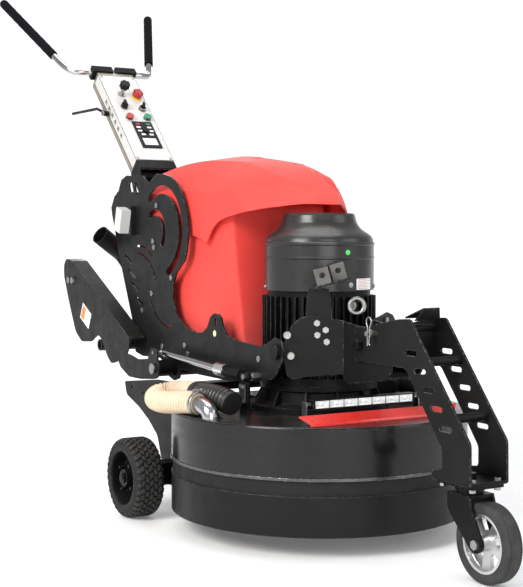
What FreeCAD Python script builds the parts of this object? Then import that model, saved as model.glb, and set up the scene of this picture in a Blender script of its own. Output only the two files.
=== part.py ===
import FreeCAD, Part
import math
import os
from FreeCAD import Vector

os.makedirs("parts", exist_ok=True)

# Walk-behind planetary floor grinder, in millimetres.
# +Z is up, the floor is z = 0 and the origin lies under the vertical motor axis.
# The front (caster) is -Y and the operator stands at +Y, with the right hand on -X.
# "left" in a part name means -X, as seen from the front. One-sided shapes are drawn
# on -X and mirrored. A constant holding a pair is a (y, z) place unless noted.

CLEAR = 0.05                 # running gap between neighbouring pieces
TIGHT = 0.02                 # gap between pieces that sit flush
X_AXIS, Y_AXIS, Z_AXIS = (1, 0, 0), (0, 1, 0), (0, 0, 1)
MINUS_X, MINUS_Z = (-1, 0, 0), (0, 0, -1)

# Grinding head
DRUM_R, DRUM_WALL = 433.0, 4.0
HEAD_TOP = 348.0             # upper face of the head top plate
TOP_PLATE = 7.0
SEAM_Z = 214.0
SHROUD_TOP, SHROUD_BOTTOM = 168.0, 56.0
BELL_BOLT_CIRCLE, BELL_BOLT_HOLE_R = 186, 6.2

# Planetary drive
MODULE = 6.0
SUN_TEETH, PLANET_TEETH, RING_TEETH = 30, 48, 126
SPINDLE_CIRCLE = MODULE * (SUN_TEETH + PLANET_TEETH) / 2.0
SPINDLE_ANGLES = (90, 210, 330)
SPINDLE_R = 20
SPINDLE_BEARING_R = 36
GEAR_Z0, GEAR_Z1 = 286.0, 308.0
RING_GEAR_R = 408
CARRIER_R, CARRIER_BORE_R = 330, 40
CARRIER_LOW, CARRIER_HIGH, CARRIER_PLATE = 190, 262, 12
DISC_R = 168.0
SEGMENT_Z = 78.0             # lower face of the diamond segments

# Motor
SHAFT_R = 24.0
FIN_R, MOTOR_CORE_R = 166.0, 150.0
MOTOR_Z = 424 + CLEAR
MOTOR_BEARING_R = 42
ROTOR_Z, ROTOR_LENGTH = 478, 170
CAVITY_R = 138
COWL_R, COWL_Z0, COWL_Z1, COWL_WALL = 160.0, 692.0, 914.0, 3.0

# Frame: distances of the plate faces from the centre plane
SIDE_X0, SIDE_X1 = 209.0, 215.0
WHEEL_PLATE_X0, WHEEL_PLATE_X1 = 300.0, 306.0
ARM_X0, ARM_X1 = 279.0, 285.0
ARM_PIVOT = PIVOT_Y, PIVOT_Z = 520.0, 428.0
ARM_PIN_R = 12
FRONT_PIVOT, FRONT_PIVOT_R = (-117, 528), 14
CROSS_TUBE_R = 17
CROSS_TUBES = [(830, 620), (640, 500)]      # the two that pass through the hood

# Side struts
STRUT_X = 255.0
STRUT_FRONT = (-20.0, 451.0)
STRUT_REAR = (PIVOT_Y + 8, 478.0)
STRUT_PIN_R, STRUT_ROD_R = 8, 11

# Rear wheels
WHEEL_R, WHEEL_X0, WHEEL_X1 = 120.0, 375.0, 470.0
AXLE = AXLE_Y, AXLE_Z = 368.0, WHEEL_R
AXLE_R = 16

# Front leg and caster
LEG_X0, LEG_X1 = 55.0, 61.0
LEG_TIE_X = LEG_X0 - TIGHT
LEG_PIVOT, LEG_PIVOT_R = (-300.0, 556.0), 10
LOCK_PIN, LOCK_PIN_R = (-372, 590), 7
LOCK_CLIP_X = -89
TOP_TIE, TOP_TIE_R = (-478, 608), 10
CASTER_R, CASTER_Y, SWIVEL_Y = 100.0, -761.0, -690.0
CASTER_AXLE, CASTER_AXLE_R = (CASTER_Y, CASTER_R), 7
SWIVEL_R = 15

# Handle column
PANEL_Y, PANEL_Z = 1097.0, 1125.0           # lower edge of the control panel
PANEL_LENGTH, COLUMN_LENGTH, COLUMN_DEPTH = 482.0, 500, 70.0
COLUMN_HALF, PANEL_HALF = 73, 76
COLUMN_PIVOT = (962.0, 985.0)
GRIP_R, BAR_R = 17.5, 13.0
LEVER_PIVOT, LEVER_PIVOT_R = (1327, 1308), 5


# ---------------------------------------------------------------- shared tools
def export(node, *pieces):
    """Write the solids of one or more pieces, unfused, to the node's STEP file."""
    solids = []
    for piece in pieces:
        for shape in piece if isinstance(piece, list) else [piece]:
            solids += shape.Solids
    body = solids[0] if len(solids) == 1 else Part.makeCompound(solids)
    body.exportStep("parts/%s.step" % node)


def polar(radius, degrees, x=0.0, y=0.0):
    angle = math.radians(degrees)
    return x + radius * math.cos(angle), y + radius * math.sin(angle)


def box(x0, y0, z0, x1, y1, z1):
    return Part.makeBox(x1 - x0, y1 - y0, z1 - z0, Vector(x0, y0, z0))


def cyl(base, direction, radius, length):
    return Part.makeCylinder(radius, length, Vector(*base), Vector(*direction))


def cyl_x(x, y, z, radius, length):
    return cyl((x, y, z), X_AXIS, radius, length)


def cyl_z(x, y, z, radius, length):
    return cyl((x, y, z), Z_AXIS, radius, length)


def tube_x(x, y, z, outer, inner, length):
    return cyl_x(x, y, z, outer, length).cut(cyl_x(x, y, z, inner, length))


def tube_z(x, y, z, outer, inner, length):
    return cyl_z(x, y, z, outer, length).cut(cyl_z(x, y, z, inner, length))


def face(points):
    return Part.Face(Part.makePolygon([Vector(*p) for p in points] + [Vector(*points[0])]))


def plate_x(outline, x0, x1):
    """Plate between x0 and x1 from a (y, z) outline."""
    return face([(x0, y, z) for y, z in outline]).extrude(Vector(x1 - x0, 0, 0))


def plate_z(outline, z0, z1):
    """Plate between z0 and z1 from an (x, y) outline."""
    return face([(x, y, z0) for x, y in outline]).extrude(Vector(0, 0, z1 - z0))


def revolve_z(profile):
    """Full turn about the Z axis of a closed (radius, z) profile."""
    return face([(r, 0, z) for r, z in profile]).revolve(Vector(), Vector(*Z_AXIS), 360)


def revolve_x(profile):
    """Full turn about the X axis of a closed (x, radius) profile."""
    return face([(x, r, 0) for x, r in profile]).revolve(Vector(), Vector(*X_AXIS), 360)


def rounded(outline, radius):
    """Replace every corner of a closed outline by three chords of a quadratic curve."""
    points = []
    for i, corner in enumerate(outline):
        ends = []
        for other in (outline[i - 1], outline[(i + 1) % len(outline)]):
            dy, dz = other[0] - corner[0], other[1] - corner[1]
            length = math.hypot(dy, dz)
            ends.append((dy / length, dz / length, length))
        before, after = ends
        reach = min(radius, before[2] * 0.45, after[2] * 0.45)
        for k in range(4):
            t = k / 3.0
            points.append(tuple(
                (1 - t) ** 2 * (corner[e] + before[e] * reach) + 2 * t * (1 - t) * corner[e]
                + t * t * (corner[e] + after[e] * reach) for e in (0, 1)))
    return points


def mirrored(shape):
    return shape.mirror(Vector(), Vector(*X_AXIS))


def both_sides(shape):
    return [shape, mirrored(shape)]


def fuse(shapes):
    return shapes[0].multiFuse(shapes[1:])


def cut_each(shape, cutters):
    for cutter in cutters:
        shape = shape.cut(cutter)
    return shape


def turn_x(shape, degrees):
    shape.rotate(Vector(), Vector(*X_AXIS), degrees)
    return shape


def turn_z(shape, degrees):
    shape.rotate(Vector(), Vector(*Z_AXIS), degrees)
    return shape


def moved(shape, x, y, z):
    shape.translate(Vector(x, y, z))
    return shape


def largest_solid(shape):
    return max(shape.Solids, key=lambda solid: solid.Volume)


def slot_x(y, z, length, width, x0, x1, degrees=0.0):
    """Round-ended slot cutter along X, its long side turned up from Y by degrees."""
    half = (length - width) / 2.0
    slot = fuse([box(x0, -half, -width / 2, x1, half, width / 2),
                 cyl_x(x0, -half, 0, width / 2, x1 - x0),
                 cyl_x(x0, half, 0, width / 2, x1 - x0)])
    return moved(turn_x(slot, degrees), 0, y, z)


def hex_head(base, direction, radius, height, shank=0, shank_radius=0):
    """Hexagonal head standing on base along direction, with an optional shank going back."""
    bolt = plate_z([polar(radius, 60 * k) for k in range(6)], 0, height)
    if shank:
        bolt = bolt.fuse(cyl_z(0, 0, -shank, shank_radius, shank))
    turn = FreeCAD.Rotation(Vector(*Z_AXIS), Vector(*direction))
    bolt.Placement = FreeCAD.Placement(Vector(*base), turn)
    return bolt


def spline(points, start_tangent, end_tangent):
    curve = Part.BSplineCurve()
    curve.interpolate(Points=[Vector(*p) for p in points], InitialTangent=start_tangent,
                      FinalTangent=end_tangent)
    return curve.toShape()


def sweep(path, start, direction, radius):
    """Sweep a circle, centred on start and facing direction, along a wire."""
    ring = Part.Wire([Part.makeCircle(radius, Vector(*start), Vector(*direction))])
    return path.makePipeShell([ring], True, False)


def bent_rod(points, radius, start_direction, end_direction):
    path = spline(points, Vector(*start_direction) * 40, Vector(*end_direction) * 40)
    return sweep(Part.Wire([path]), points[0], start_direction, radius)


# ---------------------------------------------------------------- head housing
def bell_bolt_holes(z):
    return [cyl_z(*polar(BELL_BOLT_CIRCLE, a), z, BELL_BOLT_HOLE_R, 60) for a in (30, 150, 270)]


def head_housing():
    inner = DRUM_R - DRUM_WALL
    drum = revolve_z([
        (inner, SEAM_Z - 4), (DRUM_R, SEAM_Z - 4), (DRUM_R, HEAD_TOP - 5),
        (DRUM_R - 2, HEAD_TOP - 1.5), (DRUM_R - 5, HEAD_TOP), (118, HEAD_TOP),
        (118, HEAD_TOP - TOP_PLATE), (inner - 2, HEAD_TOP - TOP_PLATE), (inner, HEAD_TOP - 9)])
    # two pads on the rear of the top plate
    pads = [box(x, 215, HEAD_TOP - 1, x + 30, 330, HEAD_TOP + 5) for x in (-60, 30)]
    pipe_holes = [cyl_z(x, -62, HEAD_TOP - 12, 20.5, 40) for x in (-392, 392)]
    return cut_each(fuse([drum] + pads), pipe_holes + bell_bolt_holes(HEAD_TOP - 20))


def seam_ring():
    """L-section ring under and around the lower edge of the drum."""
    outer, edge = DRUM_R + 3, SEAM_Z - 4
    ledge = revolve_z([(DRUM_R - 3, SEAM_Z - 7), (outer, SEAM_Z - 7),
                       (outer, edge - TIGHT), (DRUM_R - 3, edge - TIGHT)])
    band = revolve_z([(DRUM_R + CLEAR, SEAM_Z - 4.5), (outer, SEAM_Z - 4.5),
                      (outer, SEAM_Z + 0.5), (DRUM_R + CLEAR, SEAM_Z + 0.5)])
    return ledge.fuse(band)


def floating_shroud():
    return revolve_z([
        (DRUM_R - 5, SHROUD_BOTTOM), (DRUM_R, SHROUD_BOTTOM + 2), (DRUM_R, SHROUD_TOP - 3),
        (DRUM_R - 3, SHROUD_TOP), (DRUM_R - 11, SHROUD_TOP), (DRUM_R - 11, SHROUD_BOTTOM)])


def shroud_seal():
    """Sleeve on the shroud that runs inside the drum."""
    foot, top = SHROUD_TOP + CLEAR, SEAM_Z + 60
    outer, inner = DRUM_R - 4.6, DRUM_R - 7.6
    return revolve_z([(DRUM_R - 10, foot), (outer, foot), (outer, top), (inner, top),
                      (inner, SHROUD_TOP + 6), (DRUM_R - 10, SHROUD_TOP + 6)])


# ---------------------------------------------------------------- planetary drive
def gear_outline(teeth, phase=0.0, internal=False):
    """Straight-flank teeth with backlash; phase is in degrees."""
    pitch_radius = MODULE * teeth / 2.0
    outward = -1 if internal else 1
    tip = pitch_radius + outward * 0.75 * MODULE
    root = pitch_radius - outward * 1.1 * MODULE
    # radius, and angle as a fraction of the tooth pitch
    tooth = [(root, -0.30), (tip, -0.105), (tip, 0.105), (root, 0.30)]
    return [polar(radius, phase + 360.0 / teeth * (k + fraction))
            for k in range(teeth) for radius, fraction in tooth]


def sun_gear():
    sun = plate_z(gear_outline(SUN_TEETH), GEAR_Z0, GEAR_Z1)
    return sun.cut(cyl_z(0, 0, GEAR_Z0 - 1, SHAFT_R + TIGHT, 60))


def ring_gear():
    # half a pitch of phase puts a gap of the ring against a tooth of each planet
    phase = 90 + 180.0 / RING_TEETH
    teeth = plate_z(gear_outline(RING_TEETH, phase, internal=True), GEAR_Z0, GEAR_Z1)
    ring = cyl_z(0, 0, GEAR_Z0, RING_GEAR_R, GEAR_Z1 - GEAR_Z0).cut(teeth)
    collar_height = HEAD_TOP - TOP_PLATE - CLEAR - GEAR_Z1
    return ring.fuse(tube_z(0, 0, GEAR_Z1 - 0.01, RING_GEAR_R, RING_GEAR_R - 12, collar_height))


def planet_carrier():
    """Two discs joined by a central tube and three pillars."""
    discs = fuse([tube_z(0, 0, z, CARRIER_R, CARRIER_BORE_R, CARRIER_PLATE)
                  for z in (CARRIER_HIGH, CARRIER_LOW)])
    # pillars and tube run 1 mm into each disc
    joint_z, joint_height = CARRIER_LOW + CARRIER_PLATE - 1, 62
    pillars = [cyl_z(*polar(150, a), joint_z, 22, joint_height) for a in (30, 150, 270)]
    centre = tube_z(0, 0, joint_z, 60, CARRIER_BORE_R, joint_height)
    seats = [cyl_z(*polar(SPINDLE_CIRCLE, a), 180, SPINDLE_BEARING_R + TIGHT, 110)
             for a in SPINDLE_ANGLES]
    return cut_each(fuse([discs] + pillars + [centre]), seats)


def spindle_bearings():
    return [tube_z(*polar(SPINDLE_CIRCLE, a), z - 2, SPINDLE_BEARING_R, SPINDLE_R + CLEAR, 16)
            for a in SPINDLE_ANGLES for z in (CARRIER_LOW, CARRIER_HIGH)]


def spindle(angle):
    """Planet gear with six lightening holes, its spindle and the flange at the bottom."""
    x, y = polar(SPINDLE_CIRCLE, angle)
    outline = [(x + dx, y + dy) for dx, dy in gear_outline(PLANET_TEETH, angle)]
    gear = cut_each(plate_z(outline, GEAR_Z0, GEAR_Z1),
                    [cyl_z(*polar(85, 60 * k + 30, x, y), GEAR_Z0 - 1, 24, 40)
                     for k in range(6)])
    return fuse([gear, cyl_z(x, y, 125, SPINDLE_R, GEAR_Z1 + 6 - 125), cyl_z(x, y, 120, 46, 10)])


def grinding_disc(angle):
    """Disc with a hub and nine diamond segments underneath."""
    x, y = polar(SPINDLE_CIRCLE, angle)
    disc_z = 104
    segments = []
    for k in range(9):
        segment = box(-16, -12, 0, 16, 12, disc_z - SEGMENT_Z + 0.05)
        turn_z(segment, 40 * k + 90)
        segments.append(moved(segment, *polar(138, 40 * k, x, y), SEGMENT_Z))
    disc = tube_z(x, y, disc_z, DISC_R, 30, 16)
    return fuse([disc, tube_z(x, y, 110, 34, 6, 10)] + segments)


def motor_shaft():
    return fuse([cyl_z(0, 0, 274.5, SHAFT_R, 526), cyl_z(0, 0, ROTOR_Z, 104, ROTOR_LENGTH)])


def cooling_fan():
    fan_z = 712
    blades = [turn_z(box(40, -2, fan_z + 2, 136, 2, 770), 40 * k) for k in range(9)]
    return fuse([tube_z(0, 0, fan_z, 44, SHAFT_R + TIGHT, 60),
                 tube_z(0, 0, fan_z, 138, 43, 5)] + blades)


# ---------------------------------------------------------------- motor
def gearbox_bell():
    """Ribbed bell between the head and the motor."""
    bell = revolve_z([
        (60, HEAD_TOP + CLEAR), (205, HEAD_TOP + CLEAR), (205, HEAD_TOP + 17),
        (172, HEAD_TOP + 19), (162, 372), (158, 404), (172, 410), (172, 424), (104, 424),
        (104, 416), (140, 404), (148, 372), (60, 366)])
    rib = [(160, HEAD_TOP + 10), (198, HEAD_TOP + 10), (168, 415), (155, 415)]
    ribs = [turn_z(plate_x(rib, -3, 3), 30 * k + 15) for k in range(12)]
    return cut_each(fuse([bell] + ribs), bell_bolt_holes(HEAD_TOP - 5))


def motor_housing():
    fin_count = 44
    # radius, and angle as a fraction of the fin pitch
    fin = [(MOTOR_CORE_R, -0.5), (MOTOR_CORE_R, -0.13), (FIN_R, -0.10), (FIN_R, 0.10),
           (MOTOR_CORE_R, 0.13)]
    outline = [polar(radius, 360.0 / fin_count * (k + fraction))
               for k in range(fin_count) for radius, fraction in fin]
    body = fuse([plate_z(outline, 446, 676), cyl_z(0, 0, MOTOR_Z, 170, 22),
                 cyl_z(0, 0, MOTOR_Z, MOTOR_CORE_R, 267)])
    body = body.cut(cyl_z(0, 0, 440, CAVITY_R, 224))
    body = body.cut(cyl_z(0, 0, 420, MOTOR_BEARING_R + TIGHT, 300))
    # one foot on each flank
    feet = [turn_z(box(140, -60, 470, 178, 60, 520), angle).cut(
        cyl_z(0, 0, 460, MOTOR_CORE_R - 4, 80)) for angle in (180, 0)]
    return fuse([body] + feet)


def terminal_box():
    """Flat box on the front-left of the motor."""
    return turn_z(box(-34, -184, 586, 34, -166.4, 684), -31)


def motor_stator():
    return tube_z(0, 0, ROTOR_Z, CAVITY_R - 0.1, 105.0, ROTOR_LENGTH)


def motor_bearings():
    return [tube_z(0, 0, z, MOTOR_BEARING_R, SHAFT_R + CLEAR, height)
            for z, height in ((426, 13.5), (668, 20))]


def bezier(*controls):
    """Thirteen points of the cubic curve with four (radius, z) control points."""
    points = []
    for k in range(13):
        t = k / 12.0
        weights = ((1 - t) ** 3, 3 * t * (1 - t) ** 2, 3 * t * t * (1 - t), t ** 3)
        points.append(tuple(sum(w * c[e] for w, c in zip(weights, controls)) for e in (0, 1)))
    return points


def fan_cowl():
    """Domed cowl with two raised bands and rings of holes in the flat top."""
    near_axis = 0.01
    ceiling = COWL_Z1 - COWL_WALL
    outside = [(COWL_R, COWL_Z0), (COWL_R, 782), (COWL_R + 2, 784.5), (COWL_R + 2, 788),
               (COWL_R, 790.5), (COWL_R, 821), (COWL_R + 2, 823.5), (COWL_R + 2, 828),
               (COWL_R - 1.5, 832)]
    outside += bezier((COWL_R - 2, 834), (COWL_R - 3, 860), (118, 856), (108, 896))
    outside += [(105, COWL_Z1 - 6), (101, COWL_Z1), (near_axis, COWL_Z1)]
    inside = [(near_axis, ceiling), (98, ceiling), (101, COWL_Z1 - 8)]
    inside += bezier((COWL_R - 6, 828), (COWL_R - 7, 855), (114, 851), (103.5, 892))[::-1]
    inside += [(COWL_R - 6, COWL_Z0)]
    holes = [cyl_z(*polar(radius, 360.0 * k / count), COWL_Z1 - 6, 5.5, 12)
             for radius, count in ((20, 6), (38, 12), (56, 18), (74, 24)) for k in range(count)]
    return revolve_z(outside + inside).cut(Part.makeCompound(holes))


def lifting_eyebolt():
    """Eye standing on the front of the motor."""
    x, z = 2, 652
    eye = fuse([Part.makeTorus(21, 6.5, Vector(x, -190, z), Vector(0.5, 1, 0)),
                cyl((x, -169, z), Y_AXIS, 14, 4), cyl((x, -171, z), Y_AXIS, 7, 6)])
    return eye.cut(cyl_z(0, 0, 600, FIN_R + CLEAR, 100))


# ---------------------------------------------------------------- front bracket
# The angled plate starts at x = -200, y = -125 and runs forwards and inwards.
ANGLED_RUN = Vector(150, -82, 0)
ANGLED_LENGTH = ANGLED_RUN.Length
ALONG = Vector(ANGLED_RUN).normalize()
OUTWARD = Vector(ALONG.y, -ALONG.x, 0)
BRACKET_PLATE = 6.0
# places on the angled plate: distance along it, z
SMALL_BOLTS = [(94, 607), (118, 588), (95, 574), (121, 555)]
LARGE_BOLTS = [(11, 574), (21, 517)]
SMALL_BOLT_R, LARGE_BOLT_R = 5.0, 8
PAN_X = 47 - CLEAR                           # half width between the bracket halves


def angled_point(distance, z, out=0.0):
    return Vector(-200, -125, z) + ALONG * distance + OUTWARD * out


def outward_rod(place, start, radius, length):
    """Cylinder square to the angled plate, starting at the given offset from its face."""
    return Part.makeCylinder(radius, length, angled_point(*place, start), OUTWARD)


def front_bracket():
    """Angled plate joined to a plate that runs forwards to the leg."""
    # distance along the plate, z
    angled = [(0, 540), (12, 575), (25, 602), (47, 621), (81, 630), (110, 624),
              (ANGLED_LENGTH, 613), (ANGLED_LENGTH, 465), (60, 457), (40, 452), (22, 452),
              (11, 463), (3, 500)]
    # y, z
    forward = [(-204, 613), (-276, 603), (-350, 603), (-352, 574), (-352, 520), (-428, 508),
               (-428, 490), (-407, 467), (-227, 440), (-204, 452)]
    bracket = fuse([face([angled_point(*p) for p in angled]).extrude(OUTWARD * -BRACKET_PLATE),
                    plate_x(rounded(forward, 8), -53, -47)])
    return cut_each(
        bracket,
        [cyl_x(-70, *LEG_PIVOT, LEG_PIVOT_R + CLEAR, 40), cyl_x(-70, *LOCK_PIN, 22, 40)]
        + [outward_rod(p, -20, SMALL_BOLT_R + CLEAR, 30) for p in SMALL_BOLTS]
        + [outward_rod(p, -20, LARGE_BOLT_R + CLEAR, 30) for p in LARGE_BOLTS])


def bracket_bolts():
    bolts = [hex_head(angled_point(*p, CLEAR), OUTWARD, 9.5, 6, 15, SMALL_BOLT_R)
             for p in SMALL_BOLTS]
    for place in LARGE_BOLTS:
        head = outward_rod(place, CLEAR, 10.5, 9).fuse(outward_rod(place, 5, 9.2, 16))
        bolts.append(head.fuse(outward_rod(place, -22, LARGE_BOLT_R, 24)))
    return bolts + [mirrored(bolt) for bolt in bolts]


def bracket_pan():
    """Floor and rear wall between the two bracket halves."""
    return fuse([box(-PAN_X, -420, 470, PAN_X, -216, 476), box(-PAN_X, -222, 474, PAN_X, -216, 560)])


def leg_pivot_bolt():
    return fuse([cyl_x(-70, *LEG_PIVOT, LEG_PIVOT_R, 140),
                 hex_head((70, *LEG_PIVOT), X_AXIS, 16, 10),
                 hex_head((-70, *LEG_PIVOT), MINUS_X, 16, 10)])


def clevis_post():
    """Post behind the left angled plate with a tilted cap and two drilled lugs."""
    # distance along the plate, z
    outline = [(64, 548), (136, 548), (136, 640), (128, 702), (70, 702), (64, 640)]
    back = -BRACKET_PLATE - CLEAR
    post = face([angled_point(*p, back) for p in outline]).extrude(OUTWARD * -8)
    post = cut_each(post, [outward_rod(p, -30, SMALL_BOLT_R + CLEAR, 60) for p in SMALL_BOLTS])
    cap = fuse([box(-52, -24, 0, 60, 30, 6),
                box(-34, -20, 5, 6, -12, 52).cut(cyl((-14, -30, 32), Y_AXIS, 8, 30)),
                box(14, 8, 5, 54, 16, 52).cut(cyl((34, 0, 32), Y_AXIS, 8, 30))])
    cap.rotate(Vector(), Vector(*Y_AXIS), -15)
    turn_z(cap, -28.7)
    cap.translate(angled_point(129, 713, -4))
    return fuse([post, cap]).cut(cyl_z(0, 0, 640, 163.0, 180))


# ---------------------------------------------------------------- front leg and caster
def leg_plate():
    # y, z
    outline = [(-519, 636), (-470, 633), (-400, 620), (-330, 604), (-276, 601), (-270, 560),
               (-276, 508), (-500, 508), (-560, 436), (-654, 318), (-654, 268), (-612, 262),
               (-612, 240), (-762, 240), (-760, 346)]
    slots = [(-524, 549), (-562, 505), (-597, 461), (-630, 417), (-667, 371)]
    return cut_each(plate_x(rounded(outline, 9), -LEG_X1, -LEG_X0),
                    [cyl_x(-80, *LEG_PIVOT, LEG_PIVOT_R + CLEAR, 60),
                     cyl_x(-80, *LOCK_PIN, LOCK_PIN_R + CLEAR, 60)]
                    + [slot_x(y, z, 48, 14, -80, -40) for y, z in slots])


def leg_cross_tubes():
    return [cyl_x(-LEG_TIE_X, y, z, radius, 2 * LEG_TIE_X)
            for y, z, radius in ((-578, 530, 12), (-682, 398, 12), (*TOP_TIE, TOP_TIE_R))]


def swivel_hole():
    return cyl_z(0, SWIVEL_Y, 200, SWIVEL_R + CLEAR, 80)


def leg_base_plate():
    return box(-LEG_TIE_X, -762, 241, LEG_TIE_X, -614, 249).cut(swivel_hole())


def leg_top_lug():
    """Two sloping tongues, back to back over the top cross tube."""
    rear = face([(-38, -470, 634), (38, -470, 634), (26, -532, 660), (-26, -532, 660)])
    front = face([(-26, -532, 660), (26, -532, 660), (40, -516, 630), (-40, -516, 630)])
    lug = fuse([rear.extrude(Vector(0, 1, 4)), front.extrude(Vector(0, 5, 1))])
    return lug.cut(cyl_x(-60, *TOP_TIE, TOP_TIE_R + CLEAR, 120))


def caster_plate():
    plate = box(-50, -757, 232, 50, -622, 240.95).cut(swivel_hole())
    return fuse([plate, tube_z(0, SWIVEL_Y, 222, 38, SWIVEL_R + CLEAR, 10.1)])


def caster_bolts():
    """Heads above and nuts below the plates."""
    bolts = []
    for x in (-40, 40):
        for y in (-745, -632):
            bolts.append(hex_head((x, y, 249.05), Z_AXIS, 9, 6))
            bolts.append(hex_head((x, y, 231.9), MINUS_Z, 9, 8))
    return bolts


def caster_fork():
    crown = box(-41, SWIVEL_Y - 42, 206, 41, SWIVEL_Y + 42, 213)
    crown = crown.fuse(tube_z(0, SWIVEL_Y, 212.9, 34, 2, 8.6))
    king_pin = cyl_z(0, SWIVEL_Y, 212, SWIVEL_R, 50)
    # y, z
    leg = rounded([(-650, 213), (-732, 213), (-738, 190), (-784, 108), (-776, 82), (-752, 76),
                   (-736, 86), (-650, 172)], 12)
    fork = fuse([crown, king_pin, plate_x(leg, -41, -35), plate_x(leg, 35, 41)])
    return fork.cut(cyl_x(-60, *CASTER_AXLE, CASTER_AXLE_R + CLEAR, 120))


def caster_axle():
    end = 41 + CLEAR
    return fuse([cyl_x(-end, *CASTER_AXLE, CASTER_AXLE_R, 2 * end),
                 hex_head((-end, *CASTER_AXLE), MINUS_X, 13, 8),
                 hex_head((end, *CASTER_AXLE), X_AXIS, 13, 8)])


def caster_hub():
    """Hub tube, rim and a web with five windows."""
    hub = fuse([tube_x(-30, 0, 0, 20, CASTER_AXLE_R + CLEAR, 60), tube_x(-22, 0, 0, 74, 66, 44),
                tube_x(-6, 0, 0, 67, 18, 12)])
    window = [(31, -8), (62, -24), (64, 0), (62, 24), (31, 8)]
    hub = cut_each(hub, [turn_x(plate_x(window, -30, 30), 72 * k + 20) for k in range(5)])
    return moved(hub, 0, *CASTER_AXLE)


def caster_tyre():
    # x, radius
    profile = [(-23, 74.02), (23, 74.02), (25, 80), (25, 92), (21, 98.5), (10, CASTER_R),
               (-10, CASTER_R), (-21, 98.5), (-25, 92), (-25, 80)]
    return moved(revolve_x(profile), 0, *CASTER_AXLE)


def lock_pin():
    """Pin with a collar, cross-drilled at its outer end for the clip."""
    pin = fuse([cyl_x(-94, *LOCK_PIN, LOCK_PIN_R, 166), cyl_x(-84, *LOCK_PIN, 11, 6)])
    return pin.cut(cyl_z(LOCK_CLIP_X, LOCK_PIN[0], 570, 2.7, 40))


def r_clip():
    # y, z
    centre_line = [(-372, 557), (-372, 575), (-372, 592), (-372, 608), (-367, 619),
                   (-371, 631), (-382, 633), (-389, 623), (-384, 611), (-381.5, 601),
                   (-382.6, 590), (-380.5, 578), (-379, 570), (-384, 559)]
    points = [Vector(LOCK_CLIP_X, y, z) for y, z in centre_line]
    curve = Part.BSplineCurve()
    curve.interpolate(points)
    start_direction = curve.tangent(curve.FirstParameter)[0]
    return sweep(Part.Wire([curve.toShape()]), points[0], start_direction, 1.9)


# ---------------------------------------------------------------- rear wheels and frame
def rear_wheel_solid(profile):
    """Turn a (distance from the centre plane, radius) profile about the left axle."""
    return moved(revolve_x([(-x, r) for x, r in profile]), 0, *AXLE)


def rear_tyre():
    bead, x0, x1 = 84.0, WHEEL_X0, WHEEL_X1
    centre = (x0 + x1) / 2
    return rear_wheel_solid([
        (x0 + 5, bead), (x1 - 5, bead), (x1, bead + 8), (x1, WHEEL_R - 16),
        (x1 - 9, WHEEL_R - 4), (centre + 20, WHEEL_R), (centre - 20, WHEEL_R),
        (x0 + 9, WHEEL_R - 4), (x0, WHEEL_R - 16), (x0, bead + 8)])


def rear_rim():
    """Barrel, disc set back from the outer face, hub tube and four studs."""
    x0, x1, bore = WHEEL_X0, WHEEL_X1, AXLE_R + CLEAR
    rim = rear_wheel_solid([
        (x0 + 3, 83.9), (x0 + 3, 78), (x1 - 54, 78), (x1 - 46, 66), (x1 - 46, 28),
        (x0 + 6, 27), (x0 + 6, bore), (x1 - 8, bore), (x1 - 8, 26), (x1 - 40, 28),
        (x1 - 40, 64), (x1 - 46, 76), (x1 - 8, 79), (x1 - 3, 81), (x1 - 3, 83.9)])
    studs = [cyl_x(-(x1 - 12), *polar(46, 90 * k + 35, *AXLE), 4.5, 30) for k in range(4)]
    return fuse([rim] + studs)


def stub_axles():
    root = WHEEL_PLATE_X1 + TIGHT
    axle = fuse([cyl_x(-(WHEEL_X1 - 2), *AXLE, AXLE_R, WHEEL_X1 - 2 - WHEEL_PLATE_X1),
                 cyl_x(-(WHEEL_X1 + 1), *AXLE, 9, 10),
                 box(-(WHEEL_X0 - 6), 336, 92, -root, 404, 158)])
    # trim the axle flush with the block
    return both_sides(axle.cut(cyl_x(-root, *AXLE, 30, 20)))


def wheel_plate():
    # y, z
    outline = [(700, 372), (684, 330), (590, 300), (520, 268), (455, 225), (425, 150),
               (415, 84), (340, 84), (330, 140), (330, 345), (300, 353), (60, 353),
               (20, 372), (20, 398), (100, 410), (460, 400)]
    return cut_each(plate_x(rounded(outline, 10), -WHEEL_PLATE_X1, -WHEEL_PLATE_X0),
                    [cyl_x(-330, y, z, 7, 60) for y, z in ((560, 350), (640, 360), (240, 380))])


def pivot_tube():
    end = ARM_X0 - CLEAR
    return cyl_x(-end, *ARM_PIVOT, 26, 2 * end).cut(
        cyl_x(-300, *ARM_PIVOT, ARM_PIN_R + CLEAR, 600))


def rear_cross_beam():
    end = WHEEL_PLATE_X0 - TIGHT
    return box(-end, 560, 340, end, 620, 366)


def frame_cross_tubes():
    end = SIDE_X0 - TIGHT
    return [cyl_x(-end, *place, CROSS_TUBE_R, 2 * end) for place in [COLUMN_PIVOT] + CROSS_TUBES]


# ---------------------------------------------------------------- side plates
CUT_X0, CUT_X1 = -230, -190                  # reach of the cutters through the left plate
SIDE_BOLTS = [(640, 948), (667, 831), (660, 811), (535, 715), (678, 659), (752, 600),
              (440, 505), (600, 490), (420, 480), (-20, 500)]
SIDE_BOLT_R = 5.5


def arc_slot(y, z, radius, width, start, end, steps=26):
    """Curved slot cutter around (y, z) between two angles in degrees."""
    angles = [start + (end - start) * k / steps for k in range(steps + 1)]
    band = [polar(radius + width / 2, a, y, z) for a in angles]
    band += [polar(radius - width / 2, a, y, z) for a in reversed(angles)]
    caps = [cyl_x(CUT_X0, *polar(radius, a, y, z), width / 2, CUT_X1 - CUT_X0)
            for a in (start, end)]
    return plate_x(band, CUT_X0, CUT_X1).fuse(caps)


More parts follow.
